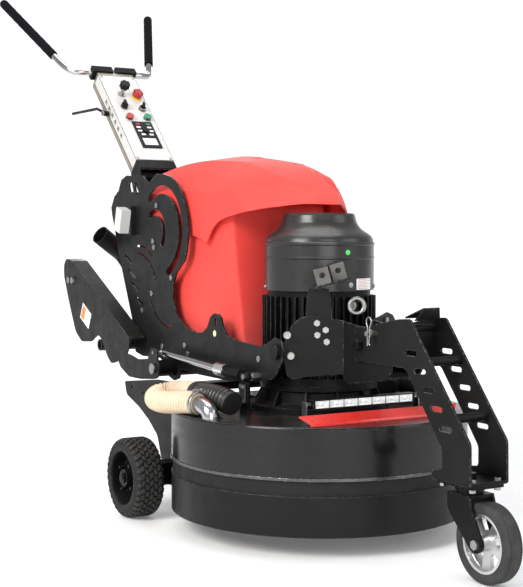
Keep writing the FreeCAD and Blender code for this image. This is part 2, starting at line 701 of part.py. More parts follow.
def three_point_slot(first, middle, last, width):
    """Curved slot cutter on the circle through three (y, z) points."""
    (ay, az), (by, bz), (cy, cz) = first, middle, last
    scale = 2 * (ay * (bz - cz) + by * (cz - az) + cy * (az - bz))
    a_sq, b_sq, c_sq = [y * y + z * z for y, z in (first, middle, last)]
    y0 = (a_sq * (bz - cz) + b_sq * (cz - az) + c_sq * (az - bz)) / scale
    z0 = (a_sq * (cy - by) + b_sq * (ay - cy) + c_sq * (by - ay)) / scale
    start, inside, end = [math.degrees(math.atan2(z - z0, y - y0)) % 360
                          for y, z in (first, middle, last)]
    low, high = min(start, end), max(start, end)
    if not low < inside < high:
        low, high = high, low + 360
    return arc_slot(y0, z0, math.hypot(ay - y0, az - z0), width, low, high, 16)


def side_plate():
    big_arc = (608, 862)
    # y, z; the rounded rear-top lobe, then an arc, then round the front and bottom
    outline = [(877, 1055), (745, 1048), (708, 1022), (640, 1051), (590, 1048), (540, 1038)]
    outline += [polar(188, 112 + 96 * k / 12.0, *big_arc) for k in range(13)]
    outline += [
        (500, 734), (525, 695), (527, 650), (503, 600), (440, 563), (375, 550), (324, 553),
        (295, 570), (274, 603), (252, 615), (224, 615), (206, 605), (196, 578), (169, 553),
        (87, 541), (-19, 535), (-60, 545), (-105, 566), (-138, 560), (-152, 530), (-140, 497),
        (-100, 452), (-40, 438), (160, 420), (355, 421), (470, 428), (486, 396), (520, 386),
        (556, 396), (575, 430), (620, 450), (754, 446), (810, 456), (830, 520), (838, 569),
        (924, 745), (943, 787), (1000, 925), (1006, 948), (979, 987), (947, 1000), (921, 1041)]
    cuts = [arc_slot(*big_arc, 137, 27, 52, 250), arc_slot(655, 860, 66, 21, 57, 216),
            three_point_slot((800, 814), (724, 806), (676, 783), 7),
            three_point_slot((779, 791), (709, 768), (651, 704), 8),
            three_point_slot((706, 676), (676, 617), (540, 555), 8)]
    # straight slots: y, z, length, width, degrees
    for y, z, length, width, degrees in [
            (868, 770, 62, 11, 24), (838, 722, 62, 11, 24), (808, 676, 62, 11, 24),
            (778, 630, 62, 11, 24), (840, 1010, 48, 26, 68), (795, 1008, 50, 26, 68),
            (238, 590, 26, 12, 90)]:
        cuts.append(slot_x(y, z, length, width, CUT_X0, CUT_X1, degrees))
    holes = [(place, SIDE_BOLT_R + CLEAR) for place in SIDE_BOLTS]
    holes += [(ARM_PIVOT, 26.03), (FRONT_PIVOT, FRONT_PIVOT_R + CLEAR),
              (STRUT_FRONT, STRUT_PIN_R + CLEAR)]
    cuts += [cyl_x(CUT_X0, *place, radius, CUT_X1 - CUT_X0) for place, radius in holes]
    return plate_x(outline, -SIDE_X1, -SIDE_X0).cut(Part.makeCompound(cuts))


def headed_pin(place, head_radius, head_length, radius):
    """Round-headed pin standing on the outside of the left side plate."""
    return fuse([cyl((-SIDE_X1 - TIGHT, *place), MINUS_X, head_radius, head_length),
                 cyl_x(-SIDE_X1 - 1, *place, radius, 12)])


def side_plate_bolts():
    bolts = [headed_pin(place, 9, 4, SIDE_BOLT_R) for place in SIDE_BOLTS]
    return bolts + [mirrored(bolt) for bolt in bolts]


def front_pivots():
    return both_sides(headed_pin(FRONT_PIVOT, 22, 14, FRONT_PIVOT_R))


# ---------------------------------------------------------------- rear swing arms and struts
WEIGHT_BOLTS = [(1185, 688), (1219, 688)]
WEIGHT_BOLT_R = 6
ARM_TUBE, ARM_TUBE_R = (967, 470), 20


def rear_arm():
    """Long plate with an inward flange on its upper edge and a pivot ear at the front."""
    # y, z
    blade = [(1254, 766), (1197, 758), (704, 511), (710, 487), (746, 440), (855, 415),
             (891, 440), (933, 492), (967, 506), (1001, 493), (1029, 478), (1113, 472),
             (1170, 504), (1234, 614), (1278, 703), (1277, 745)]
    # y from the pivot, z
    ear = [(290, 446), (200, 460), (126, 447), (16, 459), (-28, 452), (-34, 428), (-28, 404),
           (0, 394), (100, 385), (190, 384), (260, 410)]
    strut_lug = [(-16, 490), (22, 494), (50, 452), (-24, 440)]

    def plate(outline, radius, y0=0):
        return plate_x(rounded([(y0 + y, z) for y, z in outline], radius), -ARM_X1, -ARM_X0)

    def flange(y0, z0, y1, z1, thickness):
        outer, inner = -ARM_X0 - 0.5, -ARM_X0 + 52
        return face([(outer, y0, z0), (outer, y1, z1), (inner, y1, z1),
                     (inner, y0, z0)]).extrude(thickness)

    arm = fuse([plate(blade, 12), flange(710, 514, 1197, 758, Vector(0, 2.6, -5.3)),
                flange(1197, 758, 1249, 765, Vector(0, 0.6, -5.8)),
                plate(ear, 12, PIVOT_Y), plate(strut_lug, 8, PIVOT_Y)])
    holes = [(ARM_PIVOT, ARM_PIN_R), (STRUT_REAR, 5)]
    holes += [(place, WEIGHT_BOLT_R) for place in WEIGHT_BOLTS]
    return cut_each(arm, [cyl_x(-300, *place, radius + CLEAR, 60) for place, radius in holes])


def arm_cross_tube():
    end = ARM_X0 - 0.03
    return tube_x(-end, *ARM_TUBE, ARM_TUBE_R, 15, 2 * end)


def arm_weights():
    # y, z
    outline = [(1191, 742), (841, 568), (801, 470), (846, 440), (881, 470), (926, 522),
               (1041, 512), (1106, 500), (1146, 530), (1206, 630), (1241, 715), (1231, 745)]
    return both_sides(cut_each(
        plate_x(outline, -ARM_X0 + 0.03, -ARM_X0 + 40),
        [cyl_x(-300, *ARM_TUBE, ARM_TUBE_R + 0.5, 90)]
        + [cyl_x(-300, *place, WEIGHT_BOLT_R + CLEAR, 100) for place in WEIGHT_BOLTS]))


def arm_bolts():
    bolts = []
    for place in WEIGHT_BOLTS:
        bolts += both_sides(fuse([hex_head((-ARM_X1 - TIGHT, *place), MINUS_X, 13, 9),
                                  cyl_x(-ARM_X1 - 1, *place, WEIGHT_BOLT_R, 52)]))
    return bolts


def arm_pivot_pins():
    head_x = -ARM_X1 - 5
    return both_sides(fuse([cyl_x(head_x, *ARM_PIVOT, ARM_PIN_R, 40),
                            cyl((head_x, *ARM_PIVOT), MINUS_X, 17, 5)]))


def strut_studs():
    """Ball studs on the arms at the rear ends of the struts."""
    # x, radius
    profile = [polar(8, degrees, -STRUT_X) for degrees in range(0, 136, 15)]
    profile += [(-STRUT_X - 8, 5), (-ARM_X1 - 2, 5), (-ARM_X1 - 2, 0)]
    return both_sides(moved(revolve_x(profile), 0, *STRUT_REAR))


def strut_parts():
    """Front tubes with eye and collar, and the rods that run back from them."""
    tubes, rods = [], []
    for x in (-STRUT_X, STRUT_X):
        eye, ball = Vector(x, *STRUT_FRONT), Vector(x, *STRUT_REAR)
        direction = ball - eye
        length = direction.Length
        direction.normalize()

        def stage(start, radius, reach):
            return Part.makeCylinder(radius, reach, eye + direction * start, direction)

        tube = fuse([stage(34, 15, 120), stage(120, 19, 52), stage(0, 9, 40),
                     Part.makeSphere(13, eye)])
        tube = tube.cut(stage(60, STRUT_ROD_R + CLEAR, 200))
        tubes.append(tube.cut(cyl_x(x - 30, *STRUT_FRONT, STRUT_PIN_R + CLEAR, 60)))
        rod = fuse([stage(90, STRUT_ROD_R, length - 90 - 26), stage(length - 28, 6, 20)])
        rods.append(rod.cut(Part.makeSphere(11, ball)))
    return tubes, rods


def strut_front_pins():
    return both_sides(fuse([
        cyl_x(-STRUT_X - 15, *STRUT_FRONT, STRUT_PIN_R, 62),
        cyl_x(-STRUT_X + 14, *STRUT_FRONT, 12, STRUT_X - 14 - SIDE_X1 - 0.1)]))


# ---------------------------------------------------------------- handle column
# Panel coordinates: x across, up along the 45 degree column, out from the panel face.
HALF_ROOT = math.sqrt(0.5)
COLUMN_UP = Vector(0, HALF_ROOT, HALF_ROOT)
PANEL_OUT = Vector(0, -HALF_ROOT, HALF_ROOT)

# places on the panel: x, up
CONTROLS = {
    "emergency_stop": (43, 356), "selector_switch": (-28, 295), "key_switch": (43, 286),
    "stop_button": (-27, 232), "start_button": (46, 233), "rotary_switch": (-15, 370)}
CONTROL_HOLE_R, STEM_R = 11.2, 8


def panel_point(x, up, out):
    return Vector(x, PANEL_Y, PANEL_Z) + COLUMN_UP * up + PANEL_OUT * out


def panel_box(x0, up0, out0, x1, up1, out1):
    corners = [(x0, up0), (x1, up0), (x1, up1), (x0, up1)]
    return face([panel_point(x, up, out0) for x, up in corners]).extrude(
        PANEL_OUT * (out1 - out0))


def panel_cyl(x, up, out, radius, length):
    return Part.makeCylinder(radius, length, panel_point(x, up, out), PANEL_OUT)


def handle_column():
    """Channel open to the rear and below, with holes for the controls."""
    channel = panel_box(-COLUMN_HALF, 0.5, -COLUMN_DEPTH, COLUMN_HALF, COLUMN_LENGTH, -2.05)
    channel = channel.cut(panel_box(-70, -10, -COLUMN_DEPTH - 5, 70, COLUMN_LENGTH - 7, -6))
    return channel.cut(Part.makeCompound(
        [panel_cyl(*place, -60, CONTROL_HOLE_R, 80) for place in CONTROLS.values()]))


def column_foot():
    """Open box around the foot of the column, with a hinge lug on each side."""
    def column_space(length):
        half = COLUMN_HALF + CLEAR
        return panel_box(-half, 0.4, -COLUMN_DEPTH - 0.1, half, length, -2)

    # y, z
    outside = [(1069, 1095.5), (1095.5, 1122), (1144, 1073.6), (1046, 975.6), (1046, 1040)]
    inside = [(1040, 1063), (1094, 1116), (1138, 1071.8), (1040, 973.8)]
    lug_outline = [(1046, 1030), (1110, 1040), (1046, 976), (985, 962), (962, 957), (935, 972),
                   (934, 998), (962, 1015)]
    cavity = plate_x(inside, -COLUMN_HALF - CLEAR, COLUMN_HALF + CLEAR)
    cavity = cavity.cut(box(-80, 1130, 900, 80, 1200, 1200))
    foot = plate_x(outside, -PANEL_HALF, PANEL_HALF).cut(cavity).cut(column_space(60))
    lug = plate_x(rounded(lug_outline, 8), -PANEL_HALF, -70)
    foot = fuse([foot] + both_sides(lug))
    return foot.cut(cyl_x(-100, *COLUMN_PIVOT, CROSS_TUBE_R + 0.06, 200)).cut(column_space(200))


def control_panel():
    """Cover with side flanges, six slots through the flanges and holes for the controls."""
    panel = panel_box(-PANEL_HALF, 0, -46, PANEL_HALF, PANEL_LENGTH, 0)
    panel = panel.cut(panel_box(-73.95, -5, -60, 73.95, PANEL_LENGTH + 5, -2.0))
    holes = [panel_cyl(*place, -8, CONTROL_HOLE_R, 20) for place in CONTROLS.values()]
    slots = [panel_box(-90, 150 + 38 * k, -33, 90, 168 + 38 * k, -17) for k in range(6)]
    return cut_each(panel, holes + slots + [cyl_x(-120, *LEVER_PIVOT, LEVER_PIVOT_R + 0.06, 60)])


def panel_screws():
    return [panel_cyl(x, up, TIGHT, 5, 2.2) for x in (-66, 66) for up in (10, PANEL_LENGTH - 10)]


def keypad():
    """Plate with a display, a round centre key and eight small keys."""
    pad = fuse([panel_box(-26, 65, TIGHT, 52, 209, 5), panel_box(-14, 78, 4.9, 40, 114, 5.8),
                panel_cyl(14, 155, 4.9, 11, 7)])
    for x, up in ((-8, 193), (34, 193), (-10, 175), (34, 175), (-10, 155), (36, 155),
                  (-2, 135), (30, 135)):
        pad = pad.fuse(panel_box(x - 8, up - 4, 4.9, x + 8, up + 4, 7))
    return pad


def control_bezels():
    bezels = []
    for name, place in CONTROLS.items():
        radius, height = (18, 6) if name == "emergency_stop" else (15, 4)
        sleeve = fuse([panel_cyl(*place, 0.03, radius, height), panel_cyl(*place, -30, 11.1, 31)])
        bezels.append(sleeve.cut(panel_cyl(*place, -31, STEM_R + 0.06, 60)))
    return bezels


def rotary_switch():
    """Knob with six scalloped finger grooves."""
    x, up = CONTROLS["rotary_switch"]
    knob = fuse([panel_cyl(x, up, -24, STEM_R, 62), panel_cyl(x, up, 34, 19, 22)])
    grooves = [panel_cyl(*polar(20, 60 * k, x, up), 33, 5, 24) for k in range(6)]
    return knob.cut(Part.makeCompound(grooves))


def emergency_stop():
    place = CONTROLS["emergency_stop"]
    return fuse([panel_cyl(*place, -26, STEM_R, 42), panel_cyl(*place, 14, 20, 13),
                 Part.makeCone(20, 14, 5, panel_point(*place, 27), PANEL_OUT)])


def selector_switch():
    x, up = CONTROLS["selector_switch"]
    return fuse([panel_cyl(x, up, -24, STEM_R, 36), panel_cyl(x, up, 6, 13, 9),
                 panel_box(x - 4, up - 14, 14, x + 4, up + 14, 27)])


def key_switch():
    x, up = CONTROLS["key_switch"]
    return fuse([panel_cyl(x, up, -24, STEM_R, 36), panel_cyl(x, up, 6, 12.5, 7),
                 panel_box(x - 2, up - 9, 12, x + 2, up + 9, 34)])


def push_button(name):
    place = CONTROLS[name]
    return fuse([panel_cyl(*place, -26, STEM_R, 34), panel_cyl(*place, 8.2, 14.5, 7)])


# ---------------------------------------------------------------- handlebar
CLAMP = (1473.2, 1477.1)
BAR = BAR_Y, BAR_Z = CLAMP[0] + 1, CLAMP[1] + 1      # straight middle of the bar
BAR_STRAIGHT_X = 93
GRIP_START = Vector(-201, 1570, 1542)                # left grip
GRIP_DIRECTION = (Vector(-317, 1821, 1774) - GRIP_START).normalize()
BAR_END = 352                                        # bar length beyond the grip start


def grip_axis(side):
    """Start and direction of a grip: side is -1 for left, 1 for right (10 mm lower)."""
    start = Vector(-side * GRIP_START.x, GRIP_START.y, GRIP_START.z - (10 if side > 0 else 0))
    return start, Vector(-side * GRIP_DIRECTION.x, GRIP_DIRECTION.y, GRIP_DIRECTION.z)


def handlebar():
    edges = []
    for side in (-1, 1):
        start, direction = grip_axis(side)
        # the mirrored start lies on the side's own half
        bend = [(side * BAR_STRAIGHT_X, *BAR), (side * 150, BAR_Y + 14, BAR_Z + 1), start]
        edges += [spline(bend, Vector(side, 0, 0) * 90, direction * 90),
                  Part.makeLine(start, start + direction * BAR_END)]
    edges.append(Part.makeLine(Vector(-BAR_STRAIGHT_X, *BAR), Vector(BAR_STRAIGHT_X, *BAR)))
    start, direction = grip_axis(-1)
    path = Part.Wire(Part.__sortEdges__(edges))
    return sweep(path, start + direction * BAR_END, direction, BAR_R)


def bar_clamp():
    """Two blocks around the bar, cut back where they meet the column and the panel."""
    half, back = COLUMN_HALF + CLEAR, -COLUMN_DEPTH - 0.1
    blocks = []
    for x0, x1 in ((-91, -7), (7, 91)):
        block = moved(turn_x(box(x0, -14.95, -23, x1, 15.05, 23), 45), 0, *CLAMP)
        block = cut_each(block, [
            cyl_x(-120, *BAR, BAR_R + CLEAR, 240),
            panel_box(-half, 0, back, half, COLUMN_LENGTH + CLEAR, TIGHT),
            panel_box(-80, 0, back, 80, PANEL_LENGTH + CLEAR, CLEAR)])
        blocks.append(largest_solid(block))
    return blocks


def grip(side):
    """Sleeve over the end of the bar, closed by a domed tip."""
    start, direction = grip_axis(side)

    def stage(distance, radius, length):
        return Part.makeCylinder(radius, length, start + direction * distance, direction)

    sleeve = stage(4, GRIP_R, 362).cut(stage(3.9, BAR_R + CLEAR, 349))
    return sleeve.fuse(Part.makeSphere(GRIP_R - 0.5, start + direction * 364).cut(
        stage(304, 30, 60)))


def release_lever():
    """Bent rod on the left of the column with a hub on its pivot."""
    x, radius, ball_radius = -92, 5.5, 5.7
    bend = (x, 1412, 1333)
    lever = fuse([cyl((x, *LEVER_PIVOT), (0, 85, 25), radius, 88.6),
                  cyl(bend, (0, 241, 1), radius, 241),
                  Part.makeSphere(ball_radius, Vector(*bend)),
                  Part.makeSphere(ball_radius, Vector(x, 1652, 1334)),
                  cyl_x(-100, *LEVER_PIVOT, 10, 17)])
    return lever.cut(cyl_x(-110, *LEVER_PIVOT, LEVER_PIVOT_R + CLEAR, 40))


def lever_pivot():
    return fuse([cyl_x(-104, *LEVER_PIVOT, LEVER_PIVOT_R, 30.9), cyl_x(-108, *LEVER_PIVOT, 9, 4)])


# ---------------------------------------------------------------- hood
def hood():
    """Upper cover over the motor, with a narrower box below it, hollow from underneath."""
    # y, z
    top = [(-98, 962), (-20, 985), (85, 1006), (180, 1048), (280, 1085), (437, 1104),
           (560, 1108), (747, 1108), (850, 1098), (925, 1083)]
    bottom = [(925, 846), (441, 851), (401, 848), (352, 834), (330, 860), (301, 873),
              (260, 902), (200, 917), (146, 924), (36, 930), (-98, 938)]
    # x, y
    plan = [(0, -98), (164, 96), (186, 130), (193, 200), (196, 400), (196, 700), (180, 870),
            (130, 925), (-130, 925), (-180, 870), (-196, 700), (-196, 400), (-193, 200),
            (-186, 130), (-164, 96)]
    box_plan = [(-182, 190), (-172, 182), (172, 182), (182, 190), (182, 860), (150, 900),
                (-150, 900), (-182, 860)]
    cavity_plan = [(-174, 198), (174, 198), (174, 850), (145, 890), (-145, 890), (-174, 850)]
    # y, z; sloping underside of the lower box
    underside = [(420, 505), (905, 505), (905, 700), (700, 560), (420, 530)]

    upper = plate_x(top + bottom, -196, 196).common(plate_z(plan, 820, 1200))
    # sloping shoulders along both upper edges
    for side in (-1, 1):
        wedge = [(96, 1200), (96, 1120), (200, 1004), (300, 1004), (300, 1200)]
        upper = upper.cut(face([(side * x, 40, z) for x, z in wedge]).extrude(Vector(0, 960, 0)))
    lower = plate_z(box_plan, 512, 850).cut(plate_x(underside, -200, 200))
    # hollow, then room for the fan cowl and the frame cross tubes
    return cut_each(upper.fuse(lower), [
        plate_z(cavity_plan, 500, 846), cyl_z(0, 0, 700, 166, 222)]
        + [cyl_x(-300, *place, CROSS_TUBE_R + 3, 600) for place in CROSS_TUBES])


def inverter_cabinet():
    return box(-140, 230, 560, 140, 560, 830)


# ---------------------------------------------------------------- light bar and guard
def light_bar():
    """Bar across the front of the head, its four long edges rounded."""
    half = 172
    bar = box(-half, -236, 376, half, -206, 402)
    return bar.makeFillet(3, [edge for edge in bar.Edges if abs(edge.Length - 2 * half) < 1])


def light_brackets():
    foot = HEAD_TOP + CLEAR
    return both_sides(fuse([box(-192, -232, foot, -176, -210, HEAD_TOP + 4),
                            box(-192, -232, foot, -188, -210, 398),
                            cyl_x(-188, -221, 389, 6, 15.9)]))


def front_guard():
    """Bent strip across the front of the top plate, its ends cut obliquely."""
    # y, z
    section = [(-309, 371), (-312, 375), (-337, 355), (-339, 350.5), (-346, 350.5),
               (-346, 348.1), (-330, 348.1), (-331, 352)]
    # distance from the centre plane, y
    end_cut = [(250, -400), (300, -400), (300, -200), (294, -200), (284, -292), (236, -336)]
    ends = [plate_z([(side * x, y) for x, y in end_cut], 300, 440) for side in (-1, 1)]
    return largest_solid(plate_x(section, -288, 270).cut(Part.makeCompound(ends)))


def guard_tabs():
    return [box(x, -306, HEAD_TOP + CLEAR, x + 20, -250, 352).fuse(
        box(x, -306, 350, x + 20, -303, 364)) for x in (-200, 180)]


# ---------------------------------------------------------------- dust extraction
def dust_pipes():
    """Bent pipe on each side of the top plate."""
    points = [(-396, -64, HEAD_TOP + 0.06), (-399, -44, HEAD_TOP + 26), (-402, -6, HEAD_TOP + 34)]
    pipe = bent_rod(points, 23.5, Z_AXIS, (-0.05, 1, 0.02))
    return both_sides(pipe.cut(box(-460, -140, HEAD_TOP - 60, -340, 20, HEAD_TOP + CLEAR)))


def dust_hose():
    """Solid hose running back over the edge of the drum, then looping in and forwards."""
    # x, y, z above the top plate
    points = [(-402, -2, 34.5), (-421, 90, 33), (-432, 170, 30), (-398, 252, 34),
              (-348, 170, 40), (-339, 90, 42), (-337, -10, 38)]
    return bent_rod([(x, y, HEAD_TOP + z) for x, y, z in points], 26,
                    (-0.05, 1, 0.02), (0.0, -1, 0))


def vacuum_port():
    """Pipe rising between the side plates, its bored mouth facing out to the left."""
    radius, wall = 33.0, 3.5
    start, rise = Vector(-112, 958, 650), Vector(0, 0.5, 0.86)
    mouth = Vector(-258.0, 1007.1, 853.0)
    direction = Vector(-0.811, -0.213, 0.545).normalize()
    elbow = mouth - direction * 70
    bend = spline([start, (-124, 1004, 716), elbow - direction * 48, elbow],
                  rise * 70, direction * 60)
    port = sweep(Part.Wire([bend, Part.makeLine(elbow, mouth)]), start, rise, radius)
    return port.cut(Part.makeCylinder(radius - wall, 70, mouth - direction * 66, direction))


# ---------------------------------------------------------------- small fittings
LATCH_PIN, LATCH_PIN_R = (31, 414), 5


def power_inlet():
    """Tilted box on the outside of the left side plate."""
    inlet = box(-SIDE_X1 - 52, 812, 862, -SIDE_X1 - 18, 858, 942)
    inlet.rotate(Vector(-240, 836, 900), Vector(*X_AXIS), 16)
    return inlet


def inlet_base():
    return box(-SIDE_X1 - 18 + CLEAR, 804, 852, -SIDE_X1 - CLEAR, 866, 948)


def latch_post():
    foot = HEAD_TOP + CLEAR
    return fuse([box(-236, 8, foot, -228, 56, 430), box(-236, 8, foot, -210, 56, HEAD_TOP + 6)])


def toggle_latch():
    latch = box(-244, 16, 372, -238, 46, 424).fuse(box(-252, 16, 372, -238, 46, 378))
    return latch.cut(cyl_x(-260, *LATCH_PIN, LATCH_PIN_R + CLEAR, 40))


def latch_pin():
    return fuse([cyl_x(-248, *LATCH_PIN, LATCH_PIN_R, 12), cyl_x(-250, *LATCH_PIN, 8, 5.9)])


# ---------------------------------------------------------------- export
export("head_housing", head_housing(), seam_ring())
export("floating_shroud", floating_shroud())
export("shroud_seal", shroud_seal())

export("sun_gear", sun_gear())
export("ring_gear", ring_gear())
export("planet_carrier", planet_carrier(), spindle_bearings())
for number, angle in enumerate(SPINDLE_ANGLES, 1):
    export("spindle_%d" % number, spindle(angle), grinding_disc(angle))

export("motor_shaft", motor_shaft())
export("cooling_fan", cooling_fan())
export("gearbox_bell", gearbox_bell())
export("motor_housing", motor_housing(), terminal_box())
export("motor_stator", motor_stator(), motor_bearings())
export("fan_cowl", fan_cowl())

export("front_brackets", both_sides(front_bracket()), bracket_pan())
export("clevis_post", clevis_post())
export("chassis_bolts", bracket_bolts(), side_plate_bolts(), lifting_eyebolt(),
       leg_pivot_bolt(), latch_pin(), strut_front_pins())

export("leg_plates", both_sides(leg_plate()))
export("leg_crosspieces", leg_cross_tubes(), leg_base_plate(), leg_top_lug(), caster_plate(),
       caster_bolts())
export("caster_fork", caster_fork())
export("caster_axle", caster_axle())
export("caster_hub", caster_hub())
export("caster_tyre", caster_tyre())
export("lock_pin", lock_pin(), r_clip())

for name, wheel_part in (("rear_tyre", rear_tyre()), ("rear_rim", rear_rim())):
    export(name + "_left", wheel_part)
    export(name + "_right", mirrored(wheel_part))
export("wheel_plates", both_sides(wheel_plate()))
export("frame_tubes", frame_cross_tubes(), pivot_tube(), rear_cross_beam(), stub_axles(),
       front_pivots())
export("side_plates", both_sides(side_plate()))

export("rear_arms", both_sides(rear_arm()), arm_cross_tube())
export("arm_weights", arm_weights())
export("arm_bolts", arm_bolts(), arm_pivot_pins(), strut_studs())
strut_tubes, strut_rods = strut_parts()
export("strut_tubes", strut_tubes)
export("strut_rods", strut_rods)

export("handle_column", handle_column())
export("column_fittings", column_foot(), bar_clamp())
export("control_panel", control_panel(), panel_screws(), lever_pivot())
export("keypad", keypad())
export("control_bezels", control_bezels())
export("rotary_switch", rotary_switch())
export("emergency_stop", emergency_stop())
export("selector_switch", selector_switch())
export("key_switch", key_switch())
for name in ("stop_button", "start_button"):
    export(name, push_button(name))
export("handlebar", handlebar())
export("hand_grips", grip(-1), grip(1))
export("release_lever", release_lever())

export("hood", hood())
export("inverter_cabinet", inverter_cabinet())
export("light_bar", light_bar())
export("small_brackets", light_brackets(), guard_tabs(), latch_post())
export("front_guard", front_guard())
export("dust_hoses", both_sides(dust_hose()))
export("dust_pipes", dust_pipes(), vacuum_port())
export("power_inlet", power_inlet(), inlet_base())
export("toggle_latch", toggle_latch())
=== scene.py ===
"""Walk-behind floor grinder: a grinding drum under a motor and a red hood, two hoses,
turf-tyred rear wheels, a front caster and a raked handle column with a control panel.

Metres, +Z up, floor at z = 0. The drum and motor share the Z axis; the caster and the lamp
bar are at the front (-Y), the handlebar at the back (+Y), and left is -X.
"""
import bpy
import bmesh
import math
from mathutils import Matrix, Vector

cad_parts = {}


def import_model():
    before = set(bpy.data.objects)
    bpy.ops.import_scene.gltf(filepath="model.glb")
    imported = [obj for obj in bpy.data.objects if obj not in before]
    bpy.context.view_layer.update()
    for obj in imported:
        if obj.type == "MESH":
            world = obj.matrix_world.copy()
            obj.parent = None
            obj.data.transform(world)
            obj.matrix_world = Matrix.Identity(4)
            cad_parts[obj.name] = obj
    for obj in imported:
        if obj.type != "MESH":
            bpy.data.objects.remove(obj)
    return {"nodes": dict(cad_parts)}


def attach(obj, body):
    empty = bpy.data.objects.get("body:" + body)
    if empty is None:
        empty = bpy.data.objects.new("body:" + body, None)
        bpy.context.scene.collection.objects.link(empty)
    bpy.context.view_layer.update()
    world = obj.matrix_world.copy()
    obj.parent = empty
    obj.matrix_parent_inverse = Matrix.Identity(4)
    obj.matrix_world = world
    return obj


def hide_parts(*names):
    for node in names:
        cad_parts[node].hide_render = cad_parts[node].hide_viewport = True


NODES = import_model()["nodes"]
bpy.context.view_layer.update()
COLLECTION = bpy.context.scene.collection
MM = 0.001
X_AXIS, Y_AXIS, Z_AXIS = Vector((1, 0, 0)), Vector((0, 1, 0)), Vector((0, 0, 1))

# The control panel leans back at 45 degrees
SLOPE = math.sqrt(0.5)
PANEL_UP = Vector((0, SLOPE, SLOPE))
PANEL_OUT = Vector((0, -SLOPE, SLOPE))
PANEL_FOOT = Vector((0, 1.097, 1.125))  # middle of its lower edge

FINISHES = {}  # finished materials by name


# =====================================================================
# Material building
# =====================================================================
SHADER_INPUTS = {
    "color": "Base Color", "rough": "Roughness", "metal": "Metallic", "normal": "Normal",
    "coat": "Coat Weight", "coat_rough": "Coat Roughness", "spec": "Specular IOR Level",
    "emit": "Emission Color", "emit_strength": "Emission Strength"}


class Material:
    """A node material; each method adds nodes and returns the socket to use next."""

    def __init__(self, name):
        self.name = name
        self.material = bpy.data.materials.new(name)
        self.material.use_nodes = True
        self.tree = self.material.node_tree
        self.tree.nodes.clear()
        output = self.node("OutputMaterial")
        self.shader = self.node("BsdfPrincipled")
        self.feed(output.inputs[0], self.shader.outputs[0])
        self.position = self.node("TexCoord").outputs["Object"]

    def feed(self, socket, value):
        """Link a socket into this one, or set its value."""
        if hasattr(value, "is_output"):
            self.tree.links.new(value, socket)
        elif socket.type == "RGBA":
            socket.default_value = (*value, 1.0)
        else:
            socket.default_value = value

    def node(self, kind, inputs=None, **properties):
        made = self.tree.nodes.new("ShaderNode" + kind)
        for key, value in properties.items():
            setattr(made, key, value)
        for key, value in (inputs or {}).items():
            self.feed(made.inputs[key], value)
        return made

    def noise(self, scale, detail=4.0, rough=0.55, vector=None):
        return self.node("TexNoise", {
            "Vector": vector or self.position, "Scale": scale,
            "Detail": detail, "Roughness": rough}).outputs["Fac"]

    def voronoi(self, scale, feature="F1"):
        inputs = {"Vector": self.position, "Scale": scale}
        return self.node("TexVoronoi", inputs, feature=feature).outputs["Distance"]

    def scaled(self, scale):
        return self.node("Mapping", {"Vector": self.position, "Scale": scale}).outputs[0]

    def ramp(self, value, span=(0.3, 0.7), to=(0.0, 1.0)):
        """Map span onto to; the default span is where most noise lies."""
        return self.node("MapRange", {
            "Value": value, "From Min": span[0], "From Max": span[1],
            "To Min": to[0], "To Max": to[1]}).outputs[0]

    def math(self, operation, a, b):
        return self.node("Math", {0: a, 1: b}, operation=operation).outputs[0]

    def mix(self, factor, a, b):
        return self.node("Mix", {0: factor, 6: a, 7: b}, data_type="RGBA").outputs[2]

    def facing_up(self, span=(0.35, 0.95)):
        normal = self.node("NewGeometry").outputs["Normal"]
        return self.ramp(self.node("SeparateXYZ", {0: normal}).outputs[2], span)

    def axis(self, number):
        return self.node("SeparateXYZ", {0: self.position}).outputs[number]

    def soft_normal(self, radius, samples=3):
        """Normal rounded over edges."""
        return self.node("Bevel", {"Radius": radius}, samples=samples).outputs[0]

    def edges(self, radius, gain):
        """Mask of the sharp edges, and the rounded normal it comes from."""
        rounded = self.soft_normal(radius, samples=4)
        flat = self.node("NewGeometry").outputs["Normal"]
        dot = self.node("VectorMath", {0: rounded, 1: flat}, operation="DOT_PRODUCT")
        return self.ramp(dot.outputs["Value"], span=(1.0, 1.0 - gain)), rounded

    def bump(self, height, strength, depth, normal=None):
        inputs = {"Strength": strength, "Distance": depth, "Height": height}
        if normal:
            inputs["Normal"] = normal
        return self.node("Bump", inputs).outputs[0]

    def finish(self, **values):
        """Feed the main shader and file the material under its name."""
        for key, value in values.items():
            self.feed(self.shader.inputs[SHADER_INPUTS[key]], value)
        FINISHES[self.name] = self.material


def shade(color, factor):
    return tuple(min(1.0, c * factor) for c in color)


DUST = (0.50, 0.45, 0.38)
BARE = (0.42, 0.42, 0.42)


